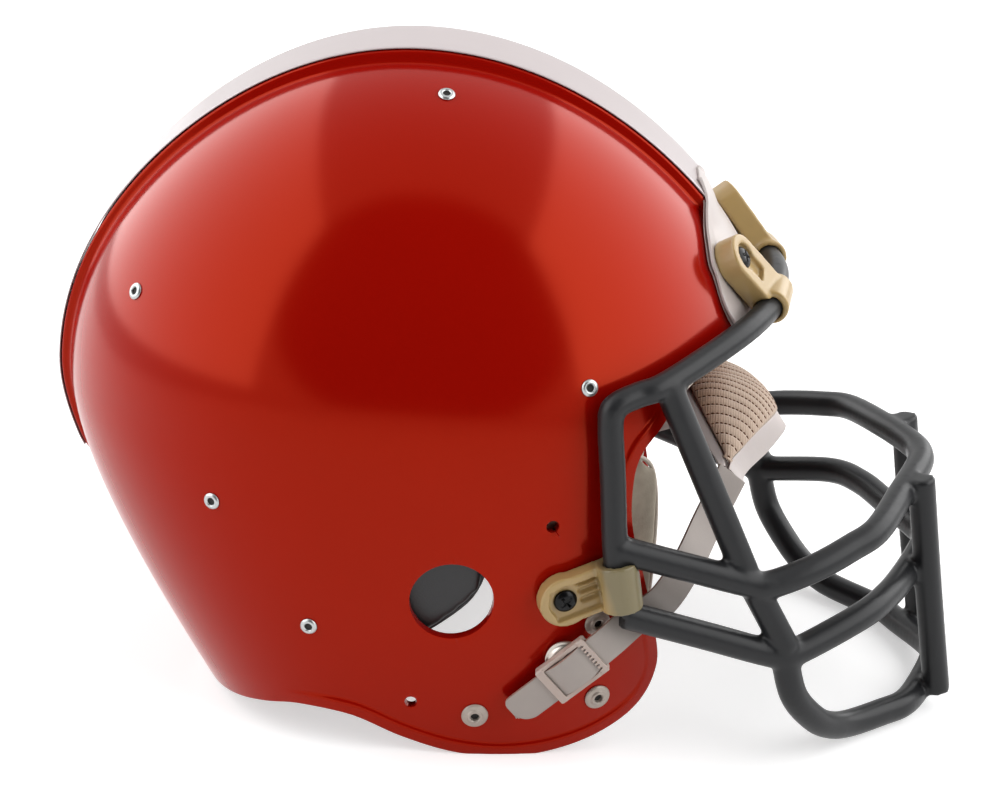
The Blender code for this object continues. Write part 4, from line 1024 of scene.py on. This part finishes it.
def make_brow_clips(finish):
    azimuth, height = BROW_CLIP_SHARES
    place = Vector(on_dome(-azimuth * pi, height * DOME_TOP))
    inner, outer = (Vector(row) for row in brow_points([BROW_WIRE_SHARES[3], BROW_WIRE_SHARES[2]]))
    hang = Vector((inner.x, -inner.y, inner.z))
    middle = Vector(brow_points([BROW_WIRE_SHARES[4]])[0])
    way = Vector((outer.x, -outer.y, outer.z)) - middle
    where = stand(place, out_of(place), hang - place)
    reach_out = (where.inverted() @ hang).x
    wide, top = BROW_CLIP_WIDTH / 2, PLATE_STACK + BROW_CLIP_THICKNESS
    loop_radius = BROW_WIRE_RADIUS + FIT + BROW_LOOP_WALL
    round_wire = stand(hang, way, where.to_3x3() @ Vector((0, 0, 1)))
    solids = [rod(wide, PLATE_STACK, top, where),
              block((0, -wide, PLATE_STACK), (reach_out, wide, top), where),
              rod(loop_radius, -wide, wide, round_wire)]
    recess_floor = top - 2.6 * MM
    cuts = [rod(5.6 * MM, recess_floor, top + 3 * MM, where),
            block((0, -3.8 * MM, recess_floor), (12 * MM, 3.8 * MM, top + 3 * MM), where),
            rod(SCREW_SHANK + FIT, -2 * MM, top + 3 * MM, where, 20)]
    brow = whole(np.vstack([bar_points(SIDE_WIRE_SHARES), brow_points(BROW_WIRE_SHARES)]))
    cuts.append(tube(curve_through(brow, 260), BROW_WIRE_RADIUS + FIT, 24))
    mesh = carved("brow_clip", solids, cuts, CLIP_VOXEL, 12)
    both_hands("brow_clip", mesh, [finish], "{side}_brow_clip")
    return where, recess_floor


def make_screws(places):
    black = moulded("screw_black", SCREW_BLACK, 0.24, 0.01, 0.5, 0.3, 3.0, density=1.3)
    steel = moulded("nut_steel", STEEL, 0.35, 0.01, 0.4, 0.15, 2.0, metallic=0.9)
    inner = INNER_SEAT
    for name, (where, seat) in places.items():
        under = seat + 0.15 * MM
        crest = under + SCREW_HEAD_HEIGHT
        end = inner - NUT_THICKNESS - 1 * MM
        head = turned(name + "_head", softened([
            (0, crest), (SCREW_HEAD_RADIUS * 0.55, crest),
            (SCREW_HEAD_RADIUS * 0.9, under + SCREW_HEAD_HEIGHT * 0.6),
            (SCREW_HEAD_RADIUS, under + 0.5 * MM), (SCREW_HEAD_RADIUS, under), (SCREW_SHANK, under),
            (SCREW_SHANK, end), (0, end)], 0.8 * MM), 40)
        solid = ([tuple(vert.co) for vert in head.vertices], [tuple(face.vertices) for face in head.polygons])
        arms = [block((-2.7 * MM, -0.55 * MM, crest - 1.1 * MM), (2.7 * MM, 0.55 * MM, crest + MM),
                      Matrix.Rotation(radians(turn), 4, 'Z')) for turn in (25, 115)]
        mesh = carved(name + "_screw", [solid], arms)
        mesh.transform(where)
        both_hands(f"{name}_screw", mesh, [black], "{side}_" + name + "_screw")
        bore = SCREW_SHANK + FIT
        low = inner - NUT_THICKNESS
        ring = [rod(NUT_RADIUS, low, inner, where, 6), rod(NUT_RADIUS * 0.62, low - 0.6 * MM, inner, where, 30)]
        nut = carved(name + "_nut", ring[:1], [rod(bore, low - 2 * MM, inner + 2 * MM, where, 24)])
        for thing in both_hands(f"{name}_nut", nut, [steel], "{side}_" + name + "_nut"):
            round_edges(thing, 0.3 * MM, 2)


CLIP_FINISH = clip_finish()
make_screws({"side": make_side_clips(CLIP_FINISH), "brow": make_brow_clips(CLIP_FINISH)})


# Chin cup: a sling cut from white vinyl, widest under the chin, its front border turned down and both ends
# narrowed to the strap's width. The knit lining is a foam pad, quilted in rows and sewn down round its edge.
STRAP_WIDTH = 13 * MM
STRAP_THICKNESS = 1.6 * MM
SLING_WALL = 1.6 * MM
SLING_SEAM = 0.5 * MM
KNIT_BEIGE = (0.52, 0.39, 0.30)
# Colour of the painted shade on the lining's rear side
KNIT_SHADE = (0.34, 0.13, 0.04)
THREAD_BROWN = (0.13, 0.05, 0.018)
STITCH_ROWS = 23
STITCH_PITCH = 1.65 * MM
STITCH_LENGTH = 1.0 * MM
STITCH_RADIUS = 0.36 * MM
STITCH_DIP = 0.6 * MM
STITCH_DIP_WIDTH = 0.75 * MM
LINING_END = 48.5 * MM
SLING_END = 50.4 * MM
# Half of the sling from its middle to one end, in millimetres: place to the side, then forward and height of the
# rear border, of the lining's rear and front edges and of the front border, and the pad's rise over its edges
SLING_SECTIONS = [
    (0, 105.3, 1.6, 112.8, 2.7, 152.4, -7.6, 157.0, -14.0, 8.6),
    (4, 105.5, 1.9, 112.9, 3.6, 151.7, -7.5, 156.2, -14.8, 8.5),
    (8, 106.0, 2.2, 113.3, 4.1, 150.6, -7.4, 154.6, -15.5, 8.2),
    (16, 108.0, 1.9, 114.9, 3.7, 147.6, -7.2, 151.1, -16.8, 7.0),
    (24, 111.3, -0.3, 117.6, 1.4, 144.2, -7.3, 147.5, -17.6, 5.3),
    (32, 115.7, -3.8, 121.2, -2.3, 140.3, -8.4, 143.7, -18.0, 3.9),
    (40, 121.0, -7.8, 125.2, -6.6, 135.7, -10.6, 140.1, -18.3, 2.8),
    (46, 125.0, -11.2, 128.6, -10.4, 132.2, -12.2, 137.7, -19.3, 1.8),
    (50.4, 126.9, -13.1, 129.6, -13.3, 131.0, -14.3, 137.6, -20.6, 1.0)]


def sling_section(along):
    """The sling's two borders, the lining's two edges and the pad's rise at places to the side."""
    table = np.array(SLING_SECTIONS) * MM
    fine = curve_through(table, 240)
    values = [np.interp(np.abs(along), fine[:, 0], fine[:, column]) for column in range(1, 10)]
    edges = [np.stack([values[first], along, values[first + 1]], axis=-1) for first in (0, 2, 4, 6)]
    return (*edges, values[8])


def pad_point(across, along, under=0.0):
    """A point of the lining's upper face, or so far under it, at a share across and a place to the side."""
    across, along = np.broadcast_arrays(np.asarray(across, float), np.asarray(along, float))
    _, rear, front, _, rise = sling_section(along)
    middle = rear + (front - rear) * ((across + 1) / 2)[..., None]
    crown = (1 - np.abs(across) ** 2.3) ** 0.8
    low = np.clip((LINING_END - np.abs(along)) / (5 * MM), 0, 1)
    lift = 0.9 * MM + rise * crown * (0.3 + 0.7 * low) - under
    return middle + np.array((0.24, 0, 0.97)) * lift[..., None]


def make_sling():
    along = np.linspace(-SLING_END, SLING_END, 121)[:, None]
    rear_edge, rear, front, front_edge, _ = sling_section(along)
    columns = []
    for share in np.linspace(0, 1, 6)[:-1]:
        columns.append(rear_edge + (rear - rear_edge) * share)
    for across in np.linspace(-0.96, 0.97, 15):
        columns.append(pad_point(across, along, 3.6 * MM * (1 - across ** 6) + SLING_SEAM))
    for share in np.linspace(0, 1, 9)[1:]:
        columns.append(front + (front_edge - front) * share)
    mesh = grid_mesh("chin_sling", np.concatenate(columns, axis=1))
    finish = moulded("sling_vinyl", VINYL_WHITE, 0.42, 0.03, 1.1, 0.05, 14.0, glow_through=0.05)
    sling = piece("chin_sling", mesh, [finish], "strap", ["chin_cup"])
    thicken(sling, SLING_WALL, edge=0.5 * MM)


def knit_finish():
    """Beige knit: fine crossed ribs, a soft sheen, and a browner painted shade towards its rear side."""
    finish = moulded("lining_knit", KNIT_BEIGE, 0.85, 0.12, 0.5, 0.10, 9.0)
    tree = finish.node_tree
    shader = tree.nodes["Principled BSDF"]
    tune(shader, sheen_weight=0.3)
    blend_in(finish, node(tree, "Attribute", attribute_name="rear_shade"), "Fac", KNIT_SHADE)
    spot = node(tree, "TexCoord")
    ribs = node(tree, "TexWave", wave_type='BANDS', bands_direction='X', scale=300.0, distortion=1.2, detail=1.0)
    wire_up(tree, spot, "Object", ribs, "Vector")
    relief = shader.inputs["Normal"].links[0].from_node
    weave = node(tree, "Bump", strength=0.8, distance=0.12 * MM)
    wire_up(tree, ribs, "Fac", weave, "Height")
    wire_up(tree, relief, "Normal", weave, "Normal")
    wire_up(tree, weave, "Normal", shader, "Normal")
    return finish


def stitch_rows():
    return np.linspace(-1, 1, STITCH_ROWS) * (LINING_END - 1.6 * MM)


def make_lining():
    along = np.linspace(-LINING_END, LINING_END, 281)[:, None]
    across = np.linspace(-1, 1, 61)[None, :]
    dip = sum(np.exp(-((along - row) / STITCH_DIP_WIDTH) ** 2) for row in stitch_rows())
    edge = np.clip((1 - np.abs(across)) / 0.12, 0, 1)
    mesh = grid_mesh("lining_cover", pad_point(across, along, dip * edge * STITCH_DIP))
    rear_shade = mesh.attributes.new("rear_shade", 'FLOAT', 'POINT')
    # Painted shade on the lining, darkest along its rear edge and fading towards both ends
    rear = np.clip((-across - 0.1) / 0.9, 0, 1) * np.clip(1.2 - np.abs(along) / LINING_END, 0, 1)
    for value, level in zip(rear_shade.data, (rear * 0.8).ravel()):
        value.value = level
    cover = piece("lining_cover", mesh, [knit_finish()], "strap", ["chin_cup_lining"])
    thicken(cover, 0.8 * MM)
    threads = []
    for row in stitch_rows():
        _, rear_edge, front_edge, _, _ = sling_section(np.array(row))
        width = float(np.linalg.norm(front_edge - rear_edge))
        count = int(width * 0.95 / STITCH_PITCH)
        for step in range(count):
            middle = ((step + 0.5) / count * 2 - 1) * 0.95
            ends = [pad_point(middle + side * STITCH_LENGTH / width, row, under * MM)
                    for side, under in ((-1, 0.62), (0, 0.40), (1, 0.62))]
            threads.append(tube(ends, STITCH_RADIUS, 6))
    mesh = mesh_of("quilting_thread", joined(threads))
    brown = moulded("thread_brown", THREAD_BROWN, 0.7, 0.05, 0.3, 0.25, 2.0)
    piece("quilting_thread", mesh, [brown], "strap")


make_sling()
make_lining()


# Straps and buckles: coated webbing runs on from the sling, inside the mask, to a moulded slide buckle, under its
# toothed front bar, over its middle bar and out below its rear bar. A metal snap socket is set in each buckle.
# Where the strap leaves the sling on the left side, in millimetres
STRAP_START = (132.3, 50.2, -16.8)
BUCKLE_OFFSET = (2.6 * MM, -1.9 * MM)
BUCKLE_LENGTH = 24 * MM
BUCKLE_WIDTH = 17.5 * MM
BUCKLE_THICKNESS = 4.2 * MM
BUCKLE_TILT = 44.2
BUCKLE_BAR = 3.2 * MM
SOCKET_STANDOFF = 3 * MM
SOCKET_RADIUS = 6 * MM
SOCKET_HEIGHT = 2.4 * MM
SOCKET_RIM = 8.3 * MM
# The straps' white webbing darkened all over as painted shade, a darker copy of the white vinyl
STRAP_SHADED_WHITE = (0.40, 0.35, 0.32)
STRAP_EDGE = (0.36, 0.22, 0.18)
BUCKLE_WHITE = (0.52, 0.42, 0.37)
# Strap between cup and buckle: share of the cup's reach forward of the snap, width as half_width reads it, and
# share of the mask's height above the floor
STRAP_SHARES = [
    (0.757, 0.655, 0.514), (0.643, 0.845, 0.446), (0.514, 0.995, 0.391), (0.371, 1.360, 0.356),
    (0.243, 1.950, 0.319)]
CUP_REACH = 70 * MM
STRAP_TURN_SHARE = 0.6
# The strap in the buckle's own frame, in millimetres: place along it and height over its middle plane
STRAP_WEAVE = [
    (12.3, 0.0), (10.0, -0.1), (7.8, 0.5), (4.6, 2.0), (0.0, 2.7), (-4.6, 2.1), (-7.8, 0.6), (-10.0, -0.1),
    (-12.3, 0.0), (-18.0, 0.1), (-24.0, 0.2), (-30.0, 0.6)]


def buckle_frame(hand):
    seat = on_side(SNAP_FORWARD, -SNAP_DROP, hand)
    out = abs(seat.y) + SOCKET_STANDOFF + SOCKET_HEIGHT + FIT + BUCKLE_THICKNESS / 2
    middle = Vector((SNAP_FORWARD + BUCKLE_OFFSET[0], hand * out, -SNAP_DROP + BUCKLE_OFFSET[1]))
    tilt = radians(BUCKLE_TILT)
    return stand(middle, (0, hand, 0), (cos(tilt), 0, sin(tilt)))


def strap_path():
    """The right strap's centre line and the way across it."""
    line = [np.array(STRAP_START) * (MM, -MM, MM)]
    for forward, width, height in STRAP_SHARES:
        line.append(np.array((SNAP_FORWARD + CUP_REACH * forward, -float(half_width(width)),
                              MASK_HEIGHT * height - DOME_TO_FLOOR)))
    where = buckle_frame(-1)
    rough = line + [np.array(where @ Vector((run * MM, 0, lift * MM))) for run, lift in STRAP_WEAVE]
    points = curve_through(rough, 420)
    points = np.vstack([points[0] + (points[0] - points[1]) * 0.5, points])
    length = np.concatenate([[0], np.cumsum(length_of(np.diff(points, axis=0)))])
    rear, _, _, front, _ = sling_section(np.array(-SLING_END))
    start = unit(front - rear)
    tilt = radians(BUCKLE_TILT)
    end = np.array((sin(tilt), 0, -cos(tilt)))
    share = np.clip(length / length[-1] / STRAP_TURN_SHARE, 0, 1)[:, None]
    across = start * (1 - share) + end * share
    return points, unit(across), length


def make_straps():
    points, across, length = strap_path()
    left = length[-1] - length
    columns = []
    for share in np.linspace(-1, 1, 9):
        corner = 7.5 * MM if share > 0 else 2.6 * MM
        into = np.clip(1 - left / corner, 0, 1)
        half = STRAP_WIDTH / 2 - corner * (1 - np.sqrt(1 - into ** 2)) * abs(share)
        columns.append(points + across * (np.maximum(half, 0.5 * MM) * share)[:, None])
    mesh = grid_mesh("chin_strap", np.stack(columns, axis=1))
    webbing = moulded("strap_webbing", STRAP_SHADED_WHITE, 0.5, 0.04, 0.9, 0.06, 11.0)
    core = moulded("strap_edge", STRAP_EDGE, 0.7, 0.05, 0.4, 0.2, 3.0)
    for strap in both_hands("chin_strap", mesh, [webbing, core], "chin_strap_{side}", "strap"):
        thicken(strap, STRAP_THICKNESS, 0.0, edge=0.3 * MM, edge_steps=2)
        strap.modifiers["thickness"].material_offset_rim = 1


def make_buckles():
    where = buckle_frame(-1)
    long, wide, deep = BUCKLE_LENGTH / 2, BUCKLE_WIDTH / 2, BUCKLE_THICKNESS / 2
    inner = long - BUCKLE_BAR
    slot = STRAP_WIDTH / 2 + FIT
    solids = []
    for side in (-1, 1):
        low, high = sorted((side * slot, side * wide))
        solids.append(block((-long + 0.4 * MM, low, -deep), (long - 0.4 * MM, high, deep * 0.75)))
        low, high = sorted((side * inner, side * long))
        solids.append(block((low, -wide + 0.5 * MM, STRAP_THICKNESS / 2 + FIT), (high, wide - 0.5 * MM, deep)))
        solids.append(block((low, -wide + 0.5 * MM, -deep), (high, wide - 0.5 * MM, -STRAP_THICKNESS / 2 - FIT)))
    solids.append(block((-1.6 * MM, -wide + 0.5 * MM, -deep), (1.6 * MM, wide - 0.5 * MM, deep * 0.55)))
    solids.append(block((-long, -slot - 0.4 * MM, -deep), (long, slot + 0.4 * MM, -STRAP_THICKNESS / 2 - FIT)))
    cuts = []
    for step in range(8):
        across = (step - 3.5) * 1.7 * MM
        cuts.append(block((inner - MM, across - 0.42 * MM, STRAP_THICKNESS / 2),
                          (inner + 1.5 * MM, across + 0.42 * MM, deep + MM)))
    mesh = carved("slide_buckle", solids, cuts, 0.26 * MM, 3)
    mesh.transform(where)
    finish = moulded("buckle_moulding", BUCKLE_WHITE, 0.4, 0.02, 1.0, 0.05, 6.0, glow_through=0.06)
    both_hands("slide_buckle", mesh, [finish], "buckle_{side}", "strap")
    bore = SNAP_POST_RADIUS + FIT
    profile = softened([
        (0, SOCKET_HEIGHT), (SOCKET_RADIUS, SOCKET_HEIGHT), (SOCKET_RADIUS + MM, 1.5 * MM),
        (SOCKET_RIM, 1.4 * MM), (SOCKET_RIM, 0.3 * MM), (SOCKET_RADIUS, 0.1 * MM), (bore, 0), (bore, 1.9 * MM),
        (0, 1.9 * MM)], 0.35 * MM)
    socket = turned("snap_socket", profile, 40)
    seat = on_side(SNAP_FORWARD, -SNAP_DROP, -1) + Vector((0, -SOCKET_STANDOFF, 0))
    socket.transform(stand(seat, (0, -1, 0)))
    bright = moulded("socket_metal", (0.56, 0.51, 0.46), 0.28, 0.01, 0.5, 0.12, 2.0, metallic=0.9)
    both_hands("snap_socket", socket, [bright], "snap_socket_{side}", "strap")


make_straps()
make_buckles()


# Liner: foam pads in soft black vinyl, welded round the edge and along channels that let them bend to the head.
# They are fixed to the shell by the rivets. The two jaw pads have beige covers and a cream welded rim.
PAD_SEAT = SHELL_WALL + INNER_CLEARANCE
PAD_ROUNDING = 0.42
PAD_VOXEL = 5 * MM
PAD_START_SHARE = 0.9
PAD_PRESSURE = 4.0
PAD_FRAMES = 20
PAD_CAP = 2.2 * MM
PAD_EDGE_SHARE = 0.42
PAD_SLOPE_SHARE = 0.25
CHANNEL_DEPTH = 3.4 * MM
CHANNEL_WIDTH = 2.2 * MM
CROWN_PAD_SPREAD = 0.55
PAD_BLACK = (0.011, 0.011, 0.012)
PIPING_RADIUS = 0.9 * MM
PIPING_BLACK = (0.03, 0.03, 0.032)
PIPING_CREAM = (0.66, 0.58, 0.50)
JAW_SIDE = (0.36, 0.31, 0.24)
JAW_FACE = (0.50, 0.36, 0.22)
SIDE_PAD_CORNER_SHARE = 0.24
# Pads by name: azimuths in degrees, lowest and highest edge and thickness in millimetres, and the channels as
# shares across, or up where the second value is 1
PAD_PLACES = {
    "brow_pad": ((-40, 40), 36, 71, 17, [(0.2, 0), (0.4, 0), (0.6, 0), (0.8, 0)]),
    "crown_pad": (None, 0, 0, 22, [(0.33, 0), (0.67, 0), (0.33, 1), (0.67, 1)]),
    "back_pad": ((140, 220), -20, 38, 18, [(0.25, 0), (0.5, 0), (0.75, 0), (0.5, 1)]),
    "nape_pad": ((145, 215), -100, -45, 18, [(0.25, 0), (0.5, 0), (0.75, 0)]),
    "side_pad_left": ((70, 125), -74, 35, 20, [(0.5, 0), (0.36, 1), (0.7, 1)]),
    "side_pad_right": ((-70, -125), -74, 35, 20, [(0.5, 0), (0.36, 1), (0.7, 1)]),
    "jaw_pad_left": ((38, 66), -95, 3, 17, []),
    "jaw_pad_right": ((-38, -66), -95, 3, 17, [])}
BROW_PAD_DIP = 27
SIDE_PAD_CORNER = 17


def pad_surface(name, across, up):
    """Points of the outer face above shares across and up a pad."""
    azimuths, low, high = PAD_PLACES[name][:3]
    if azimuths is None:
        square_x, square_y = across * 2 - 1, up * 2 - 1
        aim = np.stack([square_x * np.sqrt(1 - square_y ** 2 / 2), square_y * np.sqrt(1 - square_x ** 2 / 2),
                        across * 0 + 1 / CROWN_PAD_SPREAD], axis=-1)
        return from_middle(aim)
    foot = across * 0 + low
    if name == "brow_pad":
        foot = foot - BROW_PAD_DIP * (across * 2 - 1) ** 4
    top = foot + 35 if name == "brow_pad" else foot * 0 + high
    if name.startswith("side_pad"):
        foot = foot + SIDE_PAD_CORNER * np.maximum(0, 1 - across / SIDE_PAD_CORNER_SHARE)
    azimuth = np.radians(azimuths[0] + (azimuths[1] - azimuths[0]) * across)
    return on_dome(azimuth, (foot + (top - foot) * up) * MM)


def pad_layers(name, columns=29, rows=23, depth_share=1.0):
    """A pad's layer against the shell and its layer against the head, over one grid."""
    side, rise = np.meshgrid(np.linspace(-1, 1, columns), np.linspace(-1, 1, rows))
    across = (side * np.sqrt(1 - PAD_ROUNDING * rise ** 4 / 2) + 1) / 2
    up = (rise * np.sqrt(1 - PAD_ROUNDING * side ** 4 / 2) + 1) / 2
    outer = pad_surface(name, across, up)
    inward = -normals(outer)
    edge = (np.clip((1 - np.abs(side)) / 2 / PAD_SLOPE_SHARE, 0, 1)
            * np.clip((1 - np.abs(rise)) / 2 / PAD_SLOPE_SHARE, 0, 1))
    share = PAD_EDGE_SHARE + (1 - PAD_EDGE_SHARE) * np.sin(edge * pi / 2)
    thickness = PAD_PLACES[name][3] * MM * share * depth_share
    return outer + inward * PAD_SEAT, outer + inward * (PAD_SEAT + thickness)[..., None], across, up


def closed_pad(name):
    """A pad's closed mesh, a little slack, on an even grid for the simulation."""
    outer, inner, _, _ = pad_layers(name, depth_share=PAD_START_SHARE)
    rows, columns = outer.shape[:2]
    mesh = grid_mesh(name, outer)
    form = bmesh.new()
    form.from_mesh(mesh)
    form.verts.ensure_lookup_table()
    front = [form.verts.new(point) for point in inner.reshape(-1, 3)]
    back = list(form.verts)[:rows * columns]
    for row in range(rows - 1):
        for column in range(columns - 1):
            at = row * columns + column
            form.faces.new((front[at], front[at + columns], front[at + columns + 1], front[at + 1]))
    rim = ([column for column in range(columns)] + [row * columns + columns - 1 for row in range(1, rows)]
           + [(rows - 1) * columns + column for column in range(columns - 2, -1, -1)]
           + [row * columns for row in range(rows - 2, 0, -1)])
    for here, beside in zip(rim, rim[1:] + rim[:1]):
        form.faces.new((back[here], back[beside], front[beside], front[here]))
    bmesh.ops.recalc_face_normals(form, faces=form.faces)
    form.to_mesh(mesh)
    form.free()
    thing = add_object(name + "_rough", mesh)
    regrid(thing, PAD_VOXEL, 1)
    even = bpy.data.meshes.new_from_object(thing.evaluated_get(bpy.context.evaluated_depsgraph_get()))
    bpy.data.objects.remove(thing, do_unlink=True)
    bpy.data.meshes.remove(mesh)
    return even


def spots(mesh):
    flat = np.empty(len(mesh.vertices) * 3)
    mesh.vertices.foreach_get("co", flat)
    return flat.reshape(-1, 3)


def depth_under(points):
    """Distance in from the shell's outer face, and the way out, at each point."""
    slope = field_slope(points)
    steep = length_of(slope)
    return -dome_field(points) / steep, slope / steep[:, None]


def blow_up(things):
    """Swells slack pads with air pressure, all in one run, and caps how far any point has moved."""
    scene = bpy.context.scene
    for thing in things:
        cloth = thing.modifiers.new("cloth", 'CLOTH')
        cloth.settings.use_pressure = True
        cloth.settings.uniform_pressure_force = PAD_PRESSURE
        cloth.settings.effector_weights.gravity = 0
        cloth.point_cache.frame_start = 1
        cloth.point_cache.frame_end = PAD_FRAMES
    for step in range(1, PAD_FRAMES + 1):
        scene.frame_set(step)
    graph = bpy.context.evaluated_depsgraph_get()
    swollen = [spots(thing.evaluated_get(graph).data) for thing in things]
    for thing, after in zip(things, swollen):
        before = spots(thing.data)
        move = after - before
        length = np.linalg.norm(move, axis=-1, keepdims=True)
        move *= np.minimum(1, PAD_CAP / np.maximum(length, 1e-9))
        thing.modifiers.remove(thing.modifiers["cloth"])
        thing.data.vertices.foreach_set("co", (before + move).ravel())
    scene.frame_set(1)


def press_channels(name, mesh):
    """Keeps a pad off the shell, and presses its welded channels into the side towards the head."""
    points = spots(mesh)
    depth, out = depth_under(points)
    points = points - out * np.maximum(0, PAD_SEAT - depth)[:, None]
    outer, _, across, up = pad_layers(name, 57, 45)
    thickness = PAD_PLACES[name][3] * MM
    inner_side = np.clip((depth - PAD_SEAT - 0.25 * thickness) / (0.3 * thickness), 0, 1)
    pressed = np.zeros(len(points))
    flat = outer.reshape(-1, 3)
    for value, kind in PAD_PLACES[name][4]:
        where = up if kind else across
        line = flat[np.abs(where.ravel() - value) < 0.02]
        if not len(line):
            continue
        foot = points + out * np.maximum(depth, 0)[:, None]
        gap = np.min(np.linalg.norm(foot[:, None] - line[None], axis=-1), axis=1)
        pressed = np.maximum(pressed, np.exp(-(gap / CHANNEL_WIDTH) ** 2))
    points = points + out * (pressed * inner_side * CHANNEL_DEPTH)[:, None]
    mesh.vertices.foreach_set("co", points.ravel())
    level = mesh.attributes.new("depth_share", 'FLOAT', 'POINT')
    for item, share in zip(level.data, np.clip((depth - PAD_SEAT) / thickness, 0, 1)):
        item.value = share


def jaw_finish():
    """Beige-grey cloth on the pad's side, cream at the weld, and tan on the face against the jaw."""
    finish = moulded("jaw_cover", JAW_SIDE, 0.75, 0.1, 0.7, 0.18, 3.0)
    tree = finish.node_tree
    level = node(tree, "Attribute", attribute_name="depth_share")
    for colour, start, end in ((PIPING_CREAM, 0.40, 0.48), (JAW_FACE, 0.60, 0.68)):
        share = node(tree, "MapRange", interpolation_type='SMOOTHSTEP', from_min=start, from_max=end)
        wire_up(tree, level, "Fac", share, "Value")
        blend_in(finish, share, "Result", colour)
    return finish


def make_piping(name, finish):
    """The welded rim round a pad, as a thin cord of vinyl along the edge of its face."""
    outer, inner, _, _ = pad_layers(name, 41, 33)
    sheet = outer + (inner - outer) * 0.55
    rim = np.vstack([sheet[0], sheet[1:, -1], sheet[-1, -2::-1], sheet[-2:0:-1, 0]])
    for _ in range(3):
        rim = (np.roll(rim, 1, axis=0) + rim * 2 + np.roll(rim, -1, axis=0)) / 4
    mesh = mesh_of(name + "_piping", tube(np.vstack([rim, rim[:2]]), PIPING_RADIUS, 8))
    piece(name + "_piping", mesh, [finish])


def make_pads():
    vinyl = moulded("liner_vinyl", PAD_BLACK, 0.42, 0.08, 0.8, 0.15, 12.0)
    beige = jaw_finish()
    black_cord = moulded("piping_vinyl", PIPING_BLACK, 0.4, 0.02, 0.8, 0.1, 8.0)
    cream_cord = moulded("piping_cream", PIPING_CREAM, 0.5, 0.03, 0.8, 0.08, 8.0)
    pads = []
    for name in PAD_PLACES:
        jaw = name.startswith("jaw")
        pad = piece(name + "_cushion", closed_pad(name), [beige if jaw else vinyl],
                    stands_for=[name])
        make_piping(name, cream_cord if jaw or name == "brow_pad" else black_cord)
        pads.append((name, pad))
    blow_up([pad for _, pad in pads])
    graph = bpy.context.evaluated_depsgraph_get()
    for name, pad in pads:
        fine = pad.modifiers.new("fine skin", 'SUBSURF')
        fine.levels = fine.render_levels = 2
    graph.update()
    for name, pad in pads:
        old = pad.data
        mesh = bpy.data.meshes.new_from_object(pad.evaluated_get(graph))
        mesh.materials.clear()
        pad.modifiers.clear()
        mesh.materials.append(beige if name.startswith("jaw") else vinyl)
        pad.data = mesh
        bpy.data.meshes.remove(old)
        press_channels(name, mesh)
        mesh.shade_smooth()


make_pads()
